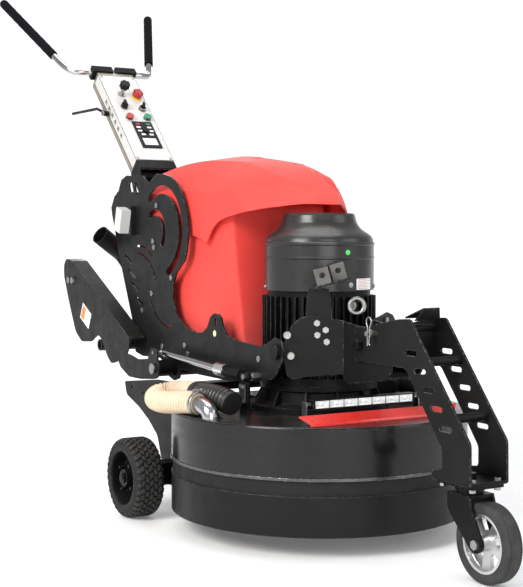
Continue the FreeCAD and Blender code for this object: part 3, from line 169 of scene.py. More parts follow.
def surface(name, base, rough, metal=0.0, tint=0.18, tint_scale=7.0, rough_range=0.12,
            rough_scale=22.0, bump_scale=600.0, bump=0.12, bump_depth=0.0006, coat=0.0,
            wear=None, wear_amount=0.5, wear_radius=0.0018, dust=0.0, dust_color=DUST,
            spec=0.5, grain_and_sheen_streak=None):
    """General finish. tint is the relative swing of the colour and rough_range that of the
    roughness; wear is the colour shown on edges, dust the amount lying on upper faces, and
    grain_and_sheen_streak the noise scale on each axis of streaks in roughness and lighter
    colour, which are grain on the metals and painted highlight streaks on the drum."""
    m = Material(name)
    blotches = m.noise(tint_scale, detail=5, rough=0.6)
    color = m.mix(m.ramp(blotches), shade(base, 1 - tint), shade(base, 1 + tint))
    roughness = m.ramp(m.noise(rough_scale, detail=6, rough=0.65),
                       to=(max(0.03, rough - rough_range), min(1, rough + rough_range)))
    # streaks of lighter colour: grain on the metals, painted highlight streaks on the drum
    if grain_and_sheen_streak:
        lines = m.noise(1.0, detail=3, rough=0.5, vector=m.scaled(grain_and_sheen_streak))
        roughness = m.math("ADD", roughness, m.ramp(lines, span=(0.35, 0.65), to=(-0.07, 0.07)))
        color = m.mix(m.ramp(lines, to=(0.0, 0.22)), color, shade(base, 1.35))
    if wear:
        edge, normal = m.edges(wear_radius, gain=0.10)
        patches = m.ramp(m.noise(95, detail=6, rough=0.7), span=(0.48, 0.62),
                         to=(0.0, wear_amount))
        worn = m.math("MULTIPLY", edge, patches)
        color = m.mix(worn, color, wear)
        roughness = m.math("ADD", roughness, m.math("MULTIPLY", worn, -0.08))
    else:
        normal = m.soft_normal(radius=0.0009)
    if dust:
        patches = m.ramp(m.noise(16, detail=8, rough=0.7), span=(0.35, 0.75), to=(0.15, 1.0))
        dusty = m.math("MULTIPLY", m.math("MULTIPLY", m.facing_up(), patches), dust)
        color = m.mix(dusty, color, dust_color)
        roughness = m.math("ADD", roughness, m.math("MULTIPLY", dusty, 0.35))
    grain = m.noise(bump_scale, detail=3, rough=0.6)
    m.finish(color=color, rough=roughness, metal=metal, coat=coat, spec=spec, coat_rough=0.15,
             normal=m.bump(grain, bump, bump_depth, normal))


# ---- black paints
surface("powder_black", (0.0050, 0.0050, 0.0053), rough=0.38, tint=0.25, bump_scale=900,
        bump=0.16, wear=BARE, wear_amount=0.35, dust=0.025, spec=0.12)
surface("powder_plate", (0.0095, 0.0097, 0.0093), rough=0.40, bump_scale=850, bump=0.15,
        wear=(0.50, 0.50, 0.47), wear_amount=0.7, wear_radius=0.0022, dust=0.03, spec=0.13)
# the drum's lighter colour streaks are painted highlight streaks
surface("drum_paint", (0.0050, 0.0050, 0.0053), rough=0.26, tint=0.2, tint_scale=3,
        rough_range=0.06, rough_scale=8, bump_scale=420, bump=0.08, wear=BARE, dust=0.06,
        coat=0.22, grain_and_sheen_streak=(3, 3, 40), spec=0.22)
surface("cast_black", (0.0040, 0.0040, 0.0043), rough=0.46, tint=0.3, bump_scale=260,
        bump=0.35, bump_depth=0.0009, wear=BARE, wear_amount=0.3, dust=0.03, spec=0.14)
surface("cowl_black", (0.0190, 0.0185, 0.0178), rough=0.30, tint_scale=5, rough_range=0.06,
        bump_scale=700, bump=0.10, dust=0.06, coat=0.12, spec=0.42)
# ---- metals
surface("zinc_plate", (0.36, 0.355, 0.34), rough=0.36, metal=1.0, tint=0.12, tint_scale=60,
        rough_scale=120, bump_scale=1400, wear=(0.75, 0.75, 0.72), wear_amount=0.4,
        wear_radius=0.001)
surface("machined_steel", (0.52, 0.52, 0.53), rough=0.30, metal=1.0, tint=0.12, tint_scale=30,
        bump_scale=1500, bump=0.15, grain_and_sheen_streak=(60, 60, 900))
surface("pipe_steel", (0.48, 0.48, 0.49), rough=0.22, metal=1.0, tint=0.10, tint_scale=30,
        rough_range=0.10, bump_scale=1300, bump=0.10, grain_and_sheen_streak=(500, 40, 500))
surface("chrome_bar", (0.50, 0.49, 0.475), rough=0.14, metal=1.0, tint=0.04, tint_scale=12,
        rough_range=0.06, rough_scale=40, bump_scale=700, bump=0.03)
surface("raw_channel", (0.46, 0.41, 0.34), rough=0.42, metal=0.75, tint=0.22, tint_scale=14,
        rough_range=0.14, bump_scale=500, bump=0.2, wear=(0.8, 0.78, 0.72), dust=0.15)
surface("cast_alu", (0.62, 0.62, 0.62), rough=0.36, metal=0.92, tint=0.12, tint_scale=35,
        rough_range=0.14, bump_scale=500, bump=0.25, wear=(0.95, 0.95, 0.95), dust=0.15)
surface("strut_alu", (0.84, 0.84, 0.84), rough=0.22, metal=1.0, tint=0.06, tint_scale=30,
        bump_scale=900, bump=0.08, grain_and_sheen_streak=(900, 30, 900))
# ---- black mouldings and seals
surface("moulded_black", (0.0075, 0.0075, 0.0080), rough=0.42, tint=0.15, bump_scale=1100,
        bump=0.25, bump_depth=0.0005, wear=(0.06, 0.06, 0.06), wear_radius=0.0012, spec=0.20)
surface("skirt_black", (0.0070, 0.0070, 0.0073), rough=0.42, tint_scale=4, bump_scale=520,
        bump=0.22, wear=(0.20, 0.19, 0.17), wear_radius=0.003, dust=0.06, spec=0.18)
surface("seam_band", (0.10, 0.10, 0.10), rough=0.32, metal=0.8, tint=0.2, tint_scale=20,
        bump_scale=700, bump=0.15, wear=(0.8, 0.8, 0.8), wear_amount=0.8)
surface("seal_rubber", (0.009, 0.009, 0.009), rough=0.66, tint=0.2, bump_scale=700, bump=0.4,
        spec=0.25)
# ---- coloured paints and plastics
surface("white_powder", (0.62, 0.61, 0.585), rough=0.36, tint=0.03, tint_scale=5,
        rough_range=0.08, bump_scale=950, bump=0.14, wear=(0.55, 0.53, 0.50),
        wear_amount=0.35, dust=0.12, dust_color=(0.66, 0.62, 0.55), coat=0.15)
surface("guard_red", (0.62, 0.018, 0.014), rough=0.30, tint=0.12, tint_scale=9,
        bump_scale=700, coat=0.3, wear=(0.75, 0.22, 0.18), dust=0.10)
PLASTIC = dict(tint=0.08, tint_scale=60, bump_scale=1500, bump=0.08)
surface("button_red", (0.36, 0.008, 0.010), rough=0.24, coat=0.3, **PLASTIC)
surface("button_green", (0.006, 0.20, 0.095), rough=0.26, coat=0.3, **PLASTIC)
surface("ring_yellow", (0.85, 0.50, 0.03), rough=0.34, **PLASTIC)
surface("key_white", (0.75, 0.76, 0.76), rough=0.38, **{**PLASTIC, "tint": 0.05})
# ---- worn metal
surface("lug_grey", (0.095, 0.090, 0.082), rough=0.42, tint=0.25, tint_scale=20,
        bump_scale=700, bump=0.2, wear=(0.5, 0.48, 0.44), wear_amount=0.7, dust=0.08)
surface("gear_steel", (0.45, 0.44, 0.43), rough=0.28, metal=1.0, tint=0.15, tint_scale=40,
        bump_scale=1300, bump=0.15, wear=(0.8, 0.8, 0.8), wear_amount=0.6)
surface("disc_steel", (0.045, 0.043, 0.042), rough=0.45, tint=0.25, tint_scale=12,
        bump_scale=500, bump=0.3, dust=0.4, wear=BARE, wear_amount=0.7)
surface("winding", (0.60, 0.26, 0.12), rough=0.35, metal=1.0, tint=0.2, tint_scale=50,
        bump=0.4, grain_and_sheen_streak=(400, 400, 30))


def diamond_segment():
    """Bronze-coloured matrix with bright grit in it."""
    m = Material("diamond_segment")
    grit = m.ramp(m.voronoi(900), span=(0.06, 0.16), to=(1.0, 0.0))
    matrix = m.mix(m.ramp(m.noise(120, detail=6, rough=0.7)),
                   (0.32, 0.27, 0.17), (0.52, 0.45, 0.30))
    m.finish(color=m.mix(grit, matrix, (0.85, 0.85, 0.7)), metal=0.8,
             rough=m.ramp(m.noise(300), to=(0.35, 0.7)),
             normal=m.bump(m.noise(800, detail=5, rough=0.7), strength=0.8, depth=0.001))


def display_window():
    """Glossy pale window with fine upright lines across x."""
    m = Material("display_window")
    wave = m.math("PINGPONG", m.math("MULTIPLY", m.axis(0), 420.0), 1.0)
    lines = m.ramp(wave, span=(0.05, 0.2), to=(0.55, 1.0))
    clouds = m.ramp(m.noise(40, detail=2), to=(0.85, 1.0))
    color = m.mix(m.math("MULTIPLY", lines, clouds), (0.26, 0.30, 0.30), (0.62, 0.68, 0.70))
    m.finish(color=color, rough=0.12, coat=0.8, emit=color, emit_strength=0.12,
             normal=m.bump(m.noise(90, detail=2), strength=0.05, depth=0.0005))


def foam_grip():
    m = Material("foam_grip")
    cells = m.voronoi(1500)
    grain = m.noise(700, detail=5, rough=0.7)
    height = m.math("ADD", m.math("MULTIPLY", cells, 0.8), grain)
    m.finish(color=m.mix(m.ramp(m.noise(14, detail=5)),
                         (0.0028, 0.0028, 0.0042), (0.0060, 0.0060, 0.0085)),
             rough=m.ramp(grain, to=(0.66, 0.88)), spec=0.10,
             normal=m.bump(height, strength=0.75, depth=0.0012))


def tyre_rubber(name, base, dust_color, dust, tread=False):
    """Rubber with patches of dust; on a tread the block edges hold less of it."""
    m = Material(name)
    patches = m.noise(26, detail=8, rough=0.72)
    color = m.mix(m.ramp(m.noise(9)), shade(base, 0.8), shade(base, 1.25))
    dusty = m.math("MULTIPLY", m.ramp(patches, span=(0.34, 0.66), to=(0.2, 1.0)), dust)
    if tread:
        edge, normal = m.edges(radius=0.003, gain=0.12)
        dusty = m.math("MULTIPLY", dusty, m.ramp(edge, span=(0.0, 1.0), to=(1.0, 0.55)))
    else:
        normal = m.soft_normal(radius=0.001)
    grain = m.noise(420, detail=5, rough=0.7)
    m.finish(color=m.mix(dusty, color, dust_color), rough=m.ramp(patches, to=(0.60, 0.85)),
             normal=m.bump(grain, strength=0.5, depth=0.0009, normal=normal), spec=0.26)


def hood_shell():
    """Red moulding with pale upright scuffs, and dust on the flats and low down."""
    m = Material("hood_shell")
    height = m.axis(2)
    color = m.mix(m.ramp(m.noise(3.0, rough=0.5)), (0.76, 0.056, 0.046), (0.84, 0.070, 0.058))
    patches = m.noise(55, detail=6, rough=0.7)
    scuffs = m.noise(1.0, detail=6, rough=0.7, vector=m.scaled((14, 14, 90)))
    color = m.mix(m.ramp(scuffs, span=(0.60, 0.72), to=(0.0, 0.10)), color, (0.88, 0.30, 0.24))
    low = m.ramp(height, span=(0.50, 0.66), to=(0.22, 0.0))
    dusty = m.math("ADD", m.math("MULTIPLY", m.facing_up(span=(0.7, 1.0)), 0.10), low)
    dusty = m.math("MULTIPLY", dusty, m.ramp(patches, span=(0.3, 0.75), to=(0.2, 1.0)))
    roughness = m.ramp(m.noise(24, detail=6, rough=0.7), to=(0.50, 0.62))
    waves = m.bump(m.noise(9, detail=2, rough=0.4), strength=0.25, depth=0.0025)
    pebbles = m.noise(620, detail=3, rough=0.6)
    m.finish(color=m.mix(dusty, color, (0.60, 0.40, 0.34)), spec=0.16, coat_rough=0.25,
             rough=m.math("ADD", roughness, m.math("MULTIPLY", dusty, 0.3)),
             normal=m.bump(pebbles, strength=0.22, depth=0.0006, normal=waves))


def hose_plastic(name, dark, light, rough):
    m = Material(name)
    color = m.mix(m.ramp(m.noise(30, detail=6, rough=0.7)), dark, light)
    patches = m.ramp(m.noise(60, detail=8, rough=0.75), span=(0.5, 0.75))
    color = m.mix(m.math("MULTIPLY", patches, 0.35), color, shade(dark, 0.45))
    # dirt and shade held in the grooves between the ribs
    pointiness = m.node("NewGeometry").outputs["Pointiness"]
    groove = m.ramp(pointiness, span=(0.44, 0.50), to=(0.85, 0.0))
    color = m.mix(groove, color, (dark[0] * 0.45, dark[1] * 0.30, dark[2] * 0.20))
    m.finish(color=color, rough=m.ramp(m.noise(80), to=(rough - 0.08, rough + 0.12)),
             normal=m.bump(m.noise(500), strength=0.25, depth=0.0006), coat=0.1)


def lamp_lens():
    m = Material("lamp_lens")
    facets = m.voronoi(260, "DISTANCE_TO_EDGE")
    m.finish(color=m.mix(m.ramp(facets, span=(0.0, 0.12)),
                         (0.55, 0.57, 0.58), (0.97, 0.98, 0.98)),
             rough=0.12, coat=1.0, emit=(1, 1, 1), emit_strength=0.30, metal=0.35,
             normal=m.bump(facets, strength=0.5, depth=0.0012))


diamond_segment()
display_window()
foam_grip()
tyre_rubber("turf_rubber", (0.013, 0.013, 0.013), dust_color=(0.12, 0.115, 0.105), dust=0.30,
            tread=True)
tyre_rubber("sidewall_rubber", (0.011, 0.011, 0.011), dust_color=(0.09, 0.085, 0.08), dust=0.16)
tyre_rubber("caster_rubber", (0.014, 0.014, 0.0145), dust_color=(0.22, 0.21, 0.20), dust=0.18)
hood_shell()
hose_plastic("hose_cream", dark=(0.60, 0.47, 0.32), light=(0.72, 0.60, 0.44), rough=0.42)
hose_plastic("hose_black", dark=(0.010, 0.0095, 0.0095), light=(0.020, 0.018, 0.017), rough=0.40)
lamp_lens()
LABEL = dict(bump_scale=900, bump=0.05)
surface("sticker_white", (0.85, 0.85, 0.84), rough=0.30, tint=0.02, tint_scale=20, **LABEL)
surface("dot_green", (0.08, 0.62, 0.12), rough=0.35, tint=0.08, tint_scale=90, **LABEL)
surface("dot_yellow", (0.80, 0.85, 0.42), rough=0.38, tint=0.05, tint_scale=90, **LABEL)
surface("sticker_orange", (0.80, 0.22, 0.05), rough=0.35, tint=0.05, tint_scale=90, **LABEL)


# =====================================================================
# Mesh building
# =====================================================================
def add_mesh(name, verts, faces, body, finishes, smooth=None, replaces=(), slot=None,
             finish_index=None):
    """Make an object that rides on a body; smooth is the sharp-edge angle in degrees."""
    mesh = bpy.data.meshes.new(name)
    mesh.from_pydata([tuple(v) for v in verts], [], faces)
    mesh.validate()
    mesh.update()
    for finish in finishes:
        mesh.materials.append(FINISHES[finish])
    if finish_index:
        for polygon, index in zip(mesh.polygons, finish_index):
            polygon.material_index = index
    if smooth is not None:
        mesh.shade_smooth()
        mesh.set_sharp_from_angle(angle=math.radians(smooth))
    made = bpy.data.objects.new(name, mesh)
    COLLECTION.objects.link(made)
    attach(made, body)
    if replaces:
        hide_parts(*replaces)
    return made


def fix_normals(target, merge=None):
    """Turn the faces outward, first merging vertices closer than merge."""
    bm = bmesh.new()
    bm.from_mesh(target.data)
    if merge:
        bmesh.ops.remove_doubles(bm, verts=bm.verts, dist=merge)
    bmesh.ops.recalc_face_normals(bm, faces=bm.faces)
    bm.to_mesh(target.data)
    bm.free()


def thicken(target, thickness):
    """Give a sheet its thickness, inward."""
    shell = target.modifiers.new("shell", "SOLIDIFY")
    shell.thickness = thickness
    shell.offset = -1


def ring_faces(count, rings):
    """Quads joining successive rings of count points."""
    return [(i * count + k, i * count + (k + 1) % count,
             (i + 1) * count + (k + 1) % count, (i + 1) * count + k)
            for i in range(rings - 1) for k in range(count)]


def circle(u, w, segments, radius):
    """Offsets round a circle; radius is a function of the angle."""
    angles = [2 * math.pi * k / segments for k in range(segments)]
    return [(u * math.cos(t) + w * math.sin(t)) * radius(t) for t in angles]


class Solids:
    """Gathers solids into one mesh, with a finish number for each face."""

    def __init__(self):
        self.verts, self.faces, self.finish_index = [], [], []

    def add(self, verts, faces, finish=0):
        start = len(self.verts)
        self.verts += [Vector(v) for v in verts]
        self.faces += [tuple(i + start for i in face) for face in faces]
        self.finish_index += [finish] * len(faces)

    def box(self, center, axes, half, finish=0, chamfer=0.0):
        """Box with half sizes along three unit axes; chamfer cuts the edges of its top."""
        center = Vector(center)
        u, v, w = (Vector(axis) for axis in axes)
        rings = [(-half[2], 0.0), (half[2] - chamfer, 0.0)]
        if chamfer:
            rings.append((half[2], chamfer))
        verts = [center + u * su * (half[0] - inset) + v * sv * (half[1] - inset) + w * rise
                 for rise, inset in rings for su, sv in ((-1, -1), (1, -1), (1, 1), (-1, 1))]
        top = len(verts) - 4
        faces = [(3, 2, 1, 0)] + ring_faces(4, len(rings)) + [(top, top + 1, top + 2, top + 3)]
        self.add(verts, faces, finish)

    def rings(self, rings, finish=0, ends=()):
        """Skin over rings; ends are the centre points that close the first and last."""
        count = len(rings[0])
        verts = [p for ring in rings for p in ring] + list(ends)
        faces = ring_faces(count, len(rings))
        if ends:
            top, first = (len(rings) - 1) * count, len(verts) - 2
            for k in range(count):
                following = (k + 1) % count
                faces.append((first, following, k))
                faces.append((first + 1, top + k, top + following))
        self.add(verts, faces, finish)

    def lathe(self, base, axis, profile, segments=32, finish=0, closed=True):
        """Turn a profile of (distance along axis, radius)."""
        base, axis = Vector(base), Vector(axis).normalized()
        u = axis.orthogonal().normalized()
        w = axis.cross(u)
        rings = [[base + axis * along + offset
                  for offset in circle(u, w, segments, lambda t: radius)]
                 for along, radius in profile]
        ends = [base + axis * profile[k][0] for k in (0, -1)] if closed else ()
        self.rings(rings, finish, ends)

    def tube(self, path, radius, segments=30):
        """Tube along a path without twist; radius is a function of length and angle."""
        last = len(path) - 1
        tangents = [(path[min(last, i + 1)] - path[max(0, i - 1)]).normalized()
                    for i in range(len(path))]
        u = tangents[0].orthogonal().normalized()
        length = 0.0
        rings = []
        for i, (point, tangent) in enumerate(zip(path, tangents)):
            if i:
                length += (point - path[i - 1]).length
            u = (u - tangent * u.dot(tangent)).normalized()
            offsets = circle(u, tangent.cross(u), segments, lambda t: radius(length, t))
            rings.append([point + offset for offset in offsets])
        self.rings(rings, ends=(path[0], path[-1]))

    def build(self, name, body, finishes, **options):
        return add_mesh(name, self.verts, self.faces, body, finishes,
                        finish_index=self.finish_index, **options)


def spline(points, steps):
    """Catmull-Rom curve through the points, with this many steps per span."""
    knots = [Vector(p) for p in points]
    knots = [knots[0] * 2 - knots[1]] + knots + [knots[-1] * 2 - knots[-2]]
    out = []
    for i in range(1, len(knots) - 2):
        a, b, c, d = knots[i - 1:i + 3]
        for k in range(steps):
            t = k / steps
            out.append(0.5 * ((2 * b) + (c - a) * t + (2 * a - 5 * b + 4 * c - d) * t * t
                              + (3 * b - a - 3 * c + d) * t ** 3))
    out.append(knots[-2])
    return out


def resample(path, step):
    """Points evenly spaced along a path."""
    out, covered = [path[0].copy()], 0.0
    for a, b in zip(path, path[1:]):
        left = (b - a).length
        while covered + left >= step:
            a = a.lerp(b, (step - covered) / left)
            out.append(a.copy())
            left = (b - a).length
            covered = 0.0
        covered += left
    return out


def mirrored(profile):
    return [(-along, radius) for along, radius in reversed(profile)]


# =====================================================================
# Finishes of the CAD pieces that stay
# =====================================================================
def paint(node, finishes, pick=None):
    """Assign finishes; pick gives the slot number from the middle of a face."""
    mesh = NODES[node].data
    mesh.materials.clear()
    for finish in finishes:
        mesh.materials.append(FINISHES[finish])
    indices = [int(pick(p.center)) if pick else 0 for p in mesh.polygons]
    mesh.polygons.foreach_set("material_index", indices)
    mesh.update()


def from_axis(c):
    return math.hypot(c.x, c.y)


def out_of_panel(c):
    return (c - PANEL_FOOT).dot(PANEL_OUT)


def up_panel(c):
    return (c - PANEL_FOOT).dot(PANEL_UP)


def above_panel(height):
    return lambda c: out_of_panel(c) > height


def on_housing_seam(c):
    """The band round the bottom of the head housing."""
    return c.z < 0.2146 and (from_axis(c) > 0.43301 or c.z < 0.2101)


def spindle_slot(c):
    """Diamond segments lowest, then the disc, then the gear."""
    if c.z < 0.1039:
        return 2
    return c.z < 0.1201


def on_middle_bolt(c):
    """The bolts near the centre plane, behind the lamp bar's depth range."""
    return abs(c.y + 0.300) < 0.025 and abs(c.z - 0.556) < 0.025 and abs(c.x) < 0.09


def on_leg_bolt(c):
    """Bolt heads and nuts over and under the crosspieces."""
    return (c.z < 0.2615 and abs(abs(c.x) - 0.04) < 0.0095
            and (abs(c.y + 0.745) < 0.0095 or abs(c.y + 0.632) < 0.0095)
            and (c.z > 0.2490 or c.z < 0.2320))


def on_yellow_ring(c):
    return (abs(c.x - 0.043) < 0.020 and abs(up_panel(c) - 0.356) < 0.020
            and out_of_panel(c) > 0)


def keypad_slot(c):
    """Slots: 0 body, 1 display, 2 red key, 3 green key, 4 white keys."""
    out, up = out_of_panel(c), up_panel(c)
    if out < 0.0051:
        return 0
    if up < 0.118:
        return out > 0.0055
    if abs(c.x - 0.014) < 0.0115 and abs(up - 0.155) < 0.0115:
        return 0
    if up > 0.186:
        return 2 if c.x < 0.013 else 3
    return 4


ONE_FINISH = {
    "skirt_black": ["floating_shroud"],
    "seal_rubber": ["shroud_seal"],
    "gear_steel": ["ring_gear", "sun_gear", "motor_shaft"],
    "moulded_black": ["cooling_fan", "selector_switch"],
    "cast_black": ["gearbox_bell", "motor_housing", "arm_weights"],
    "cowl_black": ["fan_cowl"],
    "powder_plate": ["front_brackets", "leg_plates", "wheel_plates", "side_plates",
                     "rear_arms"],
    "powder_black": ["frame_tubes", "caster_fork", "rear_rim_left", "rear_rim_right",
                     "column_fittings", "release_lever"],
    "white_powder": ["inverter_cabinet"],
    "guard_red": ["front_guard"],
    "zinc_plate": ["arm_bolts", "lock_pin", "caster_axle", "toggle_latch"],
    "chrome_bar": ["strut_rods", "handlebar"],
    "cast_alu": ["caster_hub"],
    "raw_channel": ["handle_column"],
    "button_red": ["stop_button"],
    "button_green": ["start_button"],
}
for finish_name, node_names in ONE_FINISH.items():
    for node_name in node_names:
        paint(node_name, [finish_name])

paint("head_housing", ["drum_paint", "seam_band"], on_housing_seam)
paint("planet_carrier", ["machined_steel", "gear_steel"])
for number in (1, 2, 3):
    paint(f"spindle_{number}", ["gear_steel", "disc_steel", "diamond_segment"], spindle_slot)
paint("motor_stator", ["winding", "gear_steel"], lambda c: from_axis(c) <= 0.1)
paint("clevis_post", ["powder_plate", "lug_grey"],
      lambda c: c.z > 0.7245 + (c.x + 0.085) * 0.20)
paint("chassis_bolts", ["zinc_plate", "powder_black"], on_middle_bolt)
paint("small_brackets", ["zinc_plate", "powder_black"], lambda c: c.y > 0)
paint("dust_pipes", ["pipe_steel", "moulded_black"], lambda c: c.y > 0.5)
paint("power_inlet", ["white_powder", "moulded_black"], lambda c: c.x > -0.2331)
paint("strut_tubes", ["powder_black", "strut_alu"], lambda c: c.y > 0.0995)
paint("leg_crosspieces", ["powder_black", "zinc_plate"], on_leg_bolt)
paint("control_panel", ["white_powder", "zinc_plate"],
      lambda c: out_of_panel(c) > 0.00001 or abs(c.x) > 0.0762)
paint("control_bezels", ["zinc_plate", "ring_yellow"], on_yellow_ring)
paint("rotary_switch", ["zinc_plate", "moulded_black"], above_panel(0.0335))
paint("emergency_stop", ["zinc_plate", "button_red"], above_panel(0.0135))
paint("key_switch", ["zinc_plate", "moulded_black"], above_panel(0.0125))
paint("keypad", ["moulded_black", "display_window", "button_red", "button_green", "key_white"],
      keypad_slot)

# =====================================================================
# Hood: a thin moulded brow over the motor, on an upright body
# =====================================================================
# Stations from front to back, right half, mm. Columns, each (x, y, z):
# lower edge, shoulder crease, upper crease, centre line
BROW_STATIONS = [
    ((0, -98, 938), (0, -97, 966), (0, -90, 968), (0, -84, 972)),
    ((34, -57, 940), (31, -52, 973), (24, -55, 976), (0, -58, 993)),
    ((66, -20, 941), (57, -13, 977), (48, -16, 984), (0, -24, 1012)),
    ((92, 11, 938), (76, 15, 980), (66, 12, 997), (0, 4, 1028)),
    ((117, 41, 934), (93, 41, 984), (78, 40, 1009), (0, 36, 1038)),
    ((142, 70, 930), (114, 70, 988), (87, 74, 1023), (0, 70, 1049)),
    ((166, 99, 924), (138, 105, 991), (91, 112, 1034), (0, 108, 1058)),
    ((184, 123, 919), (161, 137, 991), (94, 155, 1048), (0, 152, 1068)),
    ((191, 148, 914), (178, 164, 991), (96, 199, 1060), (0, 199, 1078)),
    ((193, 200, 906), (188, 192, 990), (98, 225, 1066), (0, 225, 1082)),
    ((194, 257, 893), (192, 238, 990), (99, 250, 1073), (0, 250, 1086)),
    ((194, 298, 870), (193, 290, 989), (101, 300, 1078), (0, 300, 1093)),
    ((194, 319, 848), (193, 330, 988), (104, 335, 1080), (0, 335, 1096)),
    ((194, 336, 828), (193, 352, 988), (105, 352, 1081), (0, 352, 1098)),
    ((194, 346, 828), (193, 362, 988), (106, 362, 1082), (0, 362, 1098)),
    ((194, 372, 838), (193, 392, 989), (108, 392, 1084), (0, 392, 1101)),
    ((194, 426, 849), (193, 445, 990), (110, 445, 1087), (0, 445, 1104)),
    ((194, 500, 847), (193, 520, 991), (110, 530, 1088), (0, 530, 1104)),
    ((193, 620, 847), (193, 640, 990), (108, 650, 1082), (0, 650, 1093)),
    ((190, 760, 847), (188, 780, 984), (104, 780, 1068), (0, 780, 1079)),
    ((182, 870, 847), (178, 878, 972), (98, 872, 1055), (0, 872, 1066)),
    ((158, 916, 847), (152, 917, 962), (84, 914, 1045), (0, 916, 1057)),
]
BROW_STEPS = 7  # per station
# Fractions across each band, packed close to the creases
SIDE_FRACTIONS = [0, 0.04, 0.12, 0.24, 0.38, 0.52, 0.66, 0.80, 0.91, 0.97, 1.0]
SHOULDER_FRACTIONS = [0.025, 0.07, 0.16, 0.30, 0.45, 0.60, 0.75, 0.87, 0.95, 1.0]
TOP_FRACTIONS = [0.03] + [0.03 + 0.97 * (k + 1) / 22.0 for k in range(22)]

# Body outlines from the front round to the back, right half, (x, y) mm
BODY_TOP = [(0, 222), (60, 222), (120, 222), (148, 223), (160, 225), (166, 232), (169, 255),
            (174, 310), (179, 420), (182, 600), (182, 760), (178, 835), (170, 868),
            (150, 889), (120, 900), (60, 905), (0, 906)]
BODY_BOTTOM = [(0, 178), (55, 178), (108, 178), (134, 179), (145, 181), (150, 188),
               (154, 215), (162, 290), (172, 410), (178, 600), (178, 760), (174, 832),
               (166, 864), (147, 885), (118, 896), (60, 900), (0, 901)]
BODY_LEVELS = [512, 513.5, 520, 545, 580, 640, 700, 760, 810, 850, 884, 925, 950]
BODY_FULL = 884  # level from which the top outline holds


def add_distinct(faces, corners):
    """Add a face, leaving out repeated corners and faces that collapse."""
    distinct = tuple(dict.fromkeys(corners))
    if len(distinct) > 2:
        faces.append(distinct)


def mirrored_sheet(half, corners):
    """Mesh rows of right-half points (mm) and their mirror image, sharing those at x = 0.
    corners gives the (row, column) offsets round a face."""
    verts, index = [], {}
    for i, row in enumerate(half):
        for j, p in enumerate(row):
            index[1, i, j] = len(verts)
            verts.append(p * MM)
            if abs(p.x) < 1e-3:
                index[-1, i, j] = index[1, i, j]
            else:
                index[-1, i, j] = len(verts)
                verts.append(Vector((-p.x, p.y, p.z)) * MM)
    faces = []
    for side in (1, -1):
        for i in range(len(half) - 1):
            for j in range(len(half[0]) - 1):
                quad = [index[side, i + di, j + dj] for di, dj in corners]
                if side < 0:
                    quad.reverse()
                add_distinct(faces, quad)
    return verts, faces, index


def scoop_drop(p):
    """Height change of the shallow leaf-shaped scoop along the top of the brow."""
    middle, half_length, half_width, blend, depth = 222.0, 128.0, 62.0, 9.0, 4.0
    along = (p.y - middle) / half_length
    if abs(along) >= 1:
        return 0.0
    width = half_width * (1 - along * along) ** 0.8
    inside = max(0.0, min(1.0, (width - abs(p.x)) / blend))
    inside = inside * inside * (3 - 2 * inside)
    return -depth * inside * (1 - 0.25 * abs(along))


def build_hood_brow():
    lower, shoulder, upper, middle = (
        spline([station[column] for station in BROW_STATIONS], BROW_STEPS)
        for column in range(4))
    count = len(lower)
    half = []
    for i in range(count):
        low, crease, top_crease, center = lower[i], shoulder[i], upper[i], middle[i]
        along = shoulder[min(count - 1, i + 1)] - shoulder[max(0, i - 1)]
        out = Vector((along.y, -along.x, 0)).normalized() if i else Vector((0, -1, 0))
        # the side and shoulder bands bulge a little
        side_bulge = min(3.5, (crease - low).length * 0.03)
        shoulder_bulge = min(4.0, (top_crease - crease).length * 0.035)
        row = [low.lerp(crease, v) + out * (math.sin(math.pi * v) * side_bulge)
               for v in SIDE_FRACTIONS]
        lean = out * 0.6 + Vector((0, 0, 0.8))
        row += [crease.lerp(top_crease, v) + lean * (math.sin(math.pi * v) * shoulder_bulge)
                for v in SHOULDER_FRACTIONS]
        for v in TOP_FRACTIONS:
            p = top_crease.lerp(center, v)
            row.append(p + Vector((0, 0, scoop_drop(p))))
        half.append(row)
    verts, faces, index = mirrored_sheet(half, ((0, 0), (1, 0), (1, 1), (0, 1)))
    # back wall
    i = count - 1
    for j in range(len(half[0]) - 1):
        add_distinct(faces, [index[1, i, j], index[-1, i, j],
                             index[-1, i, j + 1], index[1, i, j + 1]])
    brow = add_mesh("hood_brow", verts, faces, "chassis", ["hood_shell"], smooth=26,
                    replaces=["hood"], slot="red_plastic")
    fix_normals(brow, merge=1e-5)
    thicken(brow, 0.0055)
    rounding = brow.modifiers.new("edge_round", "BEVEL")
    rounding.width = 0.0016
    rounding.segments = 2
    rounding.limit_method = "ANGLE"
    rounding.angle_limit = math.radians(26)


def build_hood_body():
    """Flat face behind the motor, rounded corners and slightly swelling flanks."""
    bottom, top = (spline([(x, y, 0) for x, y in outline], 4)
                   for outline in (BODY_BOTTOM, BODY_TOP))
    floor_level = BODY_LEVELS[0]
    half = []
    for level in BODY_LEVELS:
        rise = min(1.0, (level - floor_level) / (BODY_FULL - floor_level))
        swell = math.sin(math.pi * rise) * 2.5
        row = []
        for a, b in zip(bottom, top):
            p = a.lerp(b, rise)
            p = Vector((p.x + (swell if p.x > 1 else 0), p.y, level))
            if level == floor_level:
                # the bottom edge turns in by 3 mm
                p = p + (Vector((0, 540, level)) - p).normalized() * 3.0
            row.append(p)
        half.append(row)
    verts, faces, _ = mirrored_sheet(half, ((0, 0), (0, 1), (1, 1), (1, 0)))
    body = add_mesh("hood_body", verts, faces, "chassis", ["hood_shell"], smooth=35,
                    replaces=["hood"], slot="red_plastic")
    fix_normals(body)
    thicken(body, 0.005)


build_hood_brow()
build_hood_body()

# =====================================================================
# Tyres
# =====================================================================
TYRE_X, TYRE_Y, TYRE_Z = 0.4225, 0.368, 0.120
TYRE_HALF = 0.0475        # half width
CARCASS_RADIUS = 0.1146
SHOULDER_X = 0.0405       # beyond this the shoulder blocks slope down
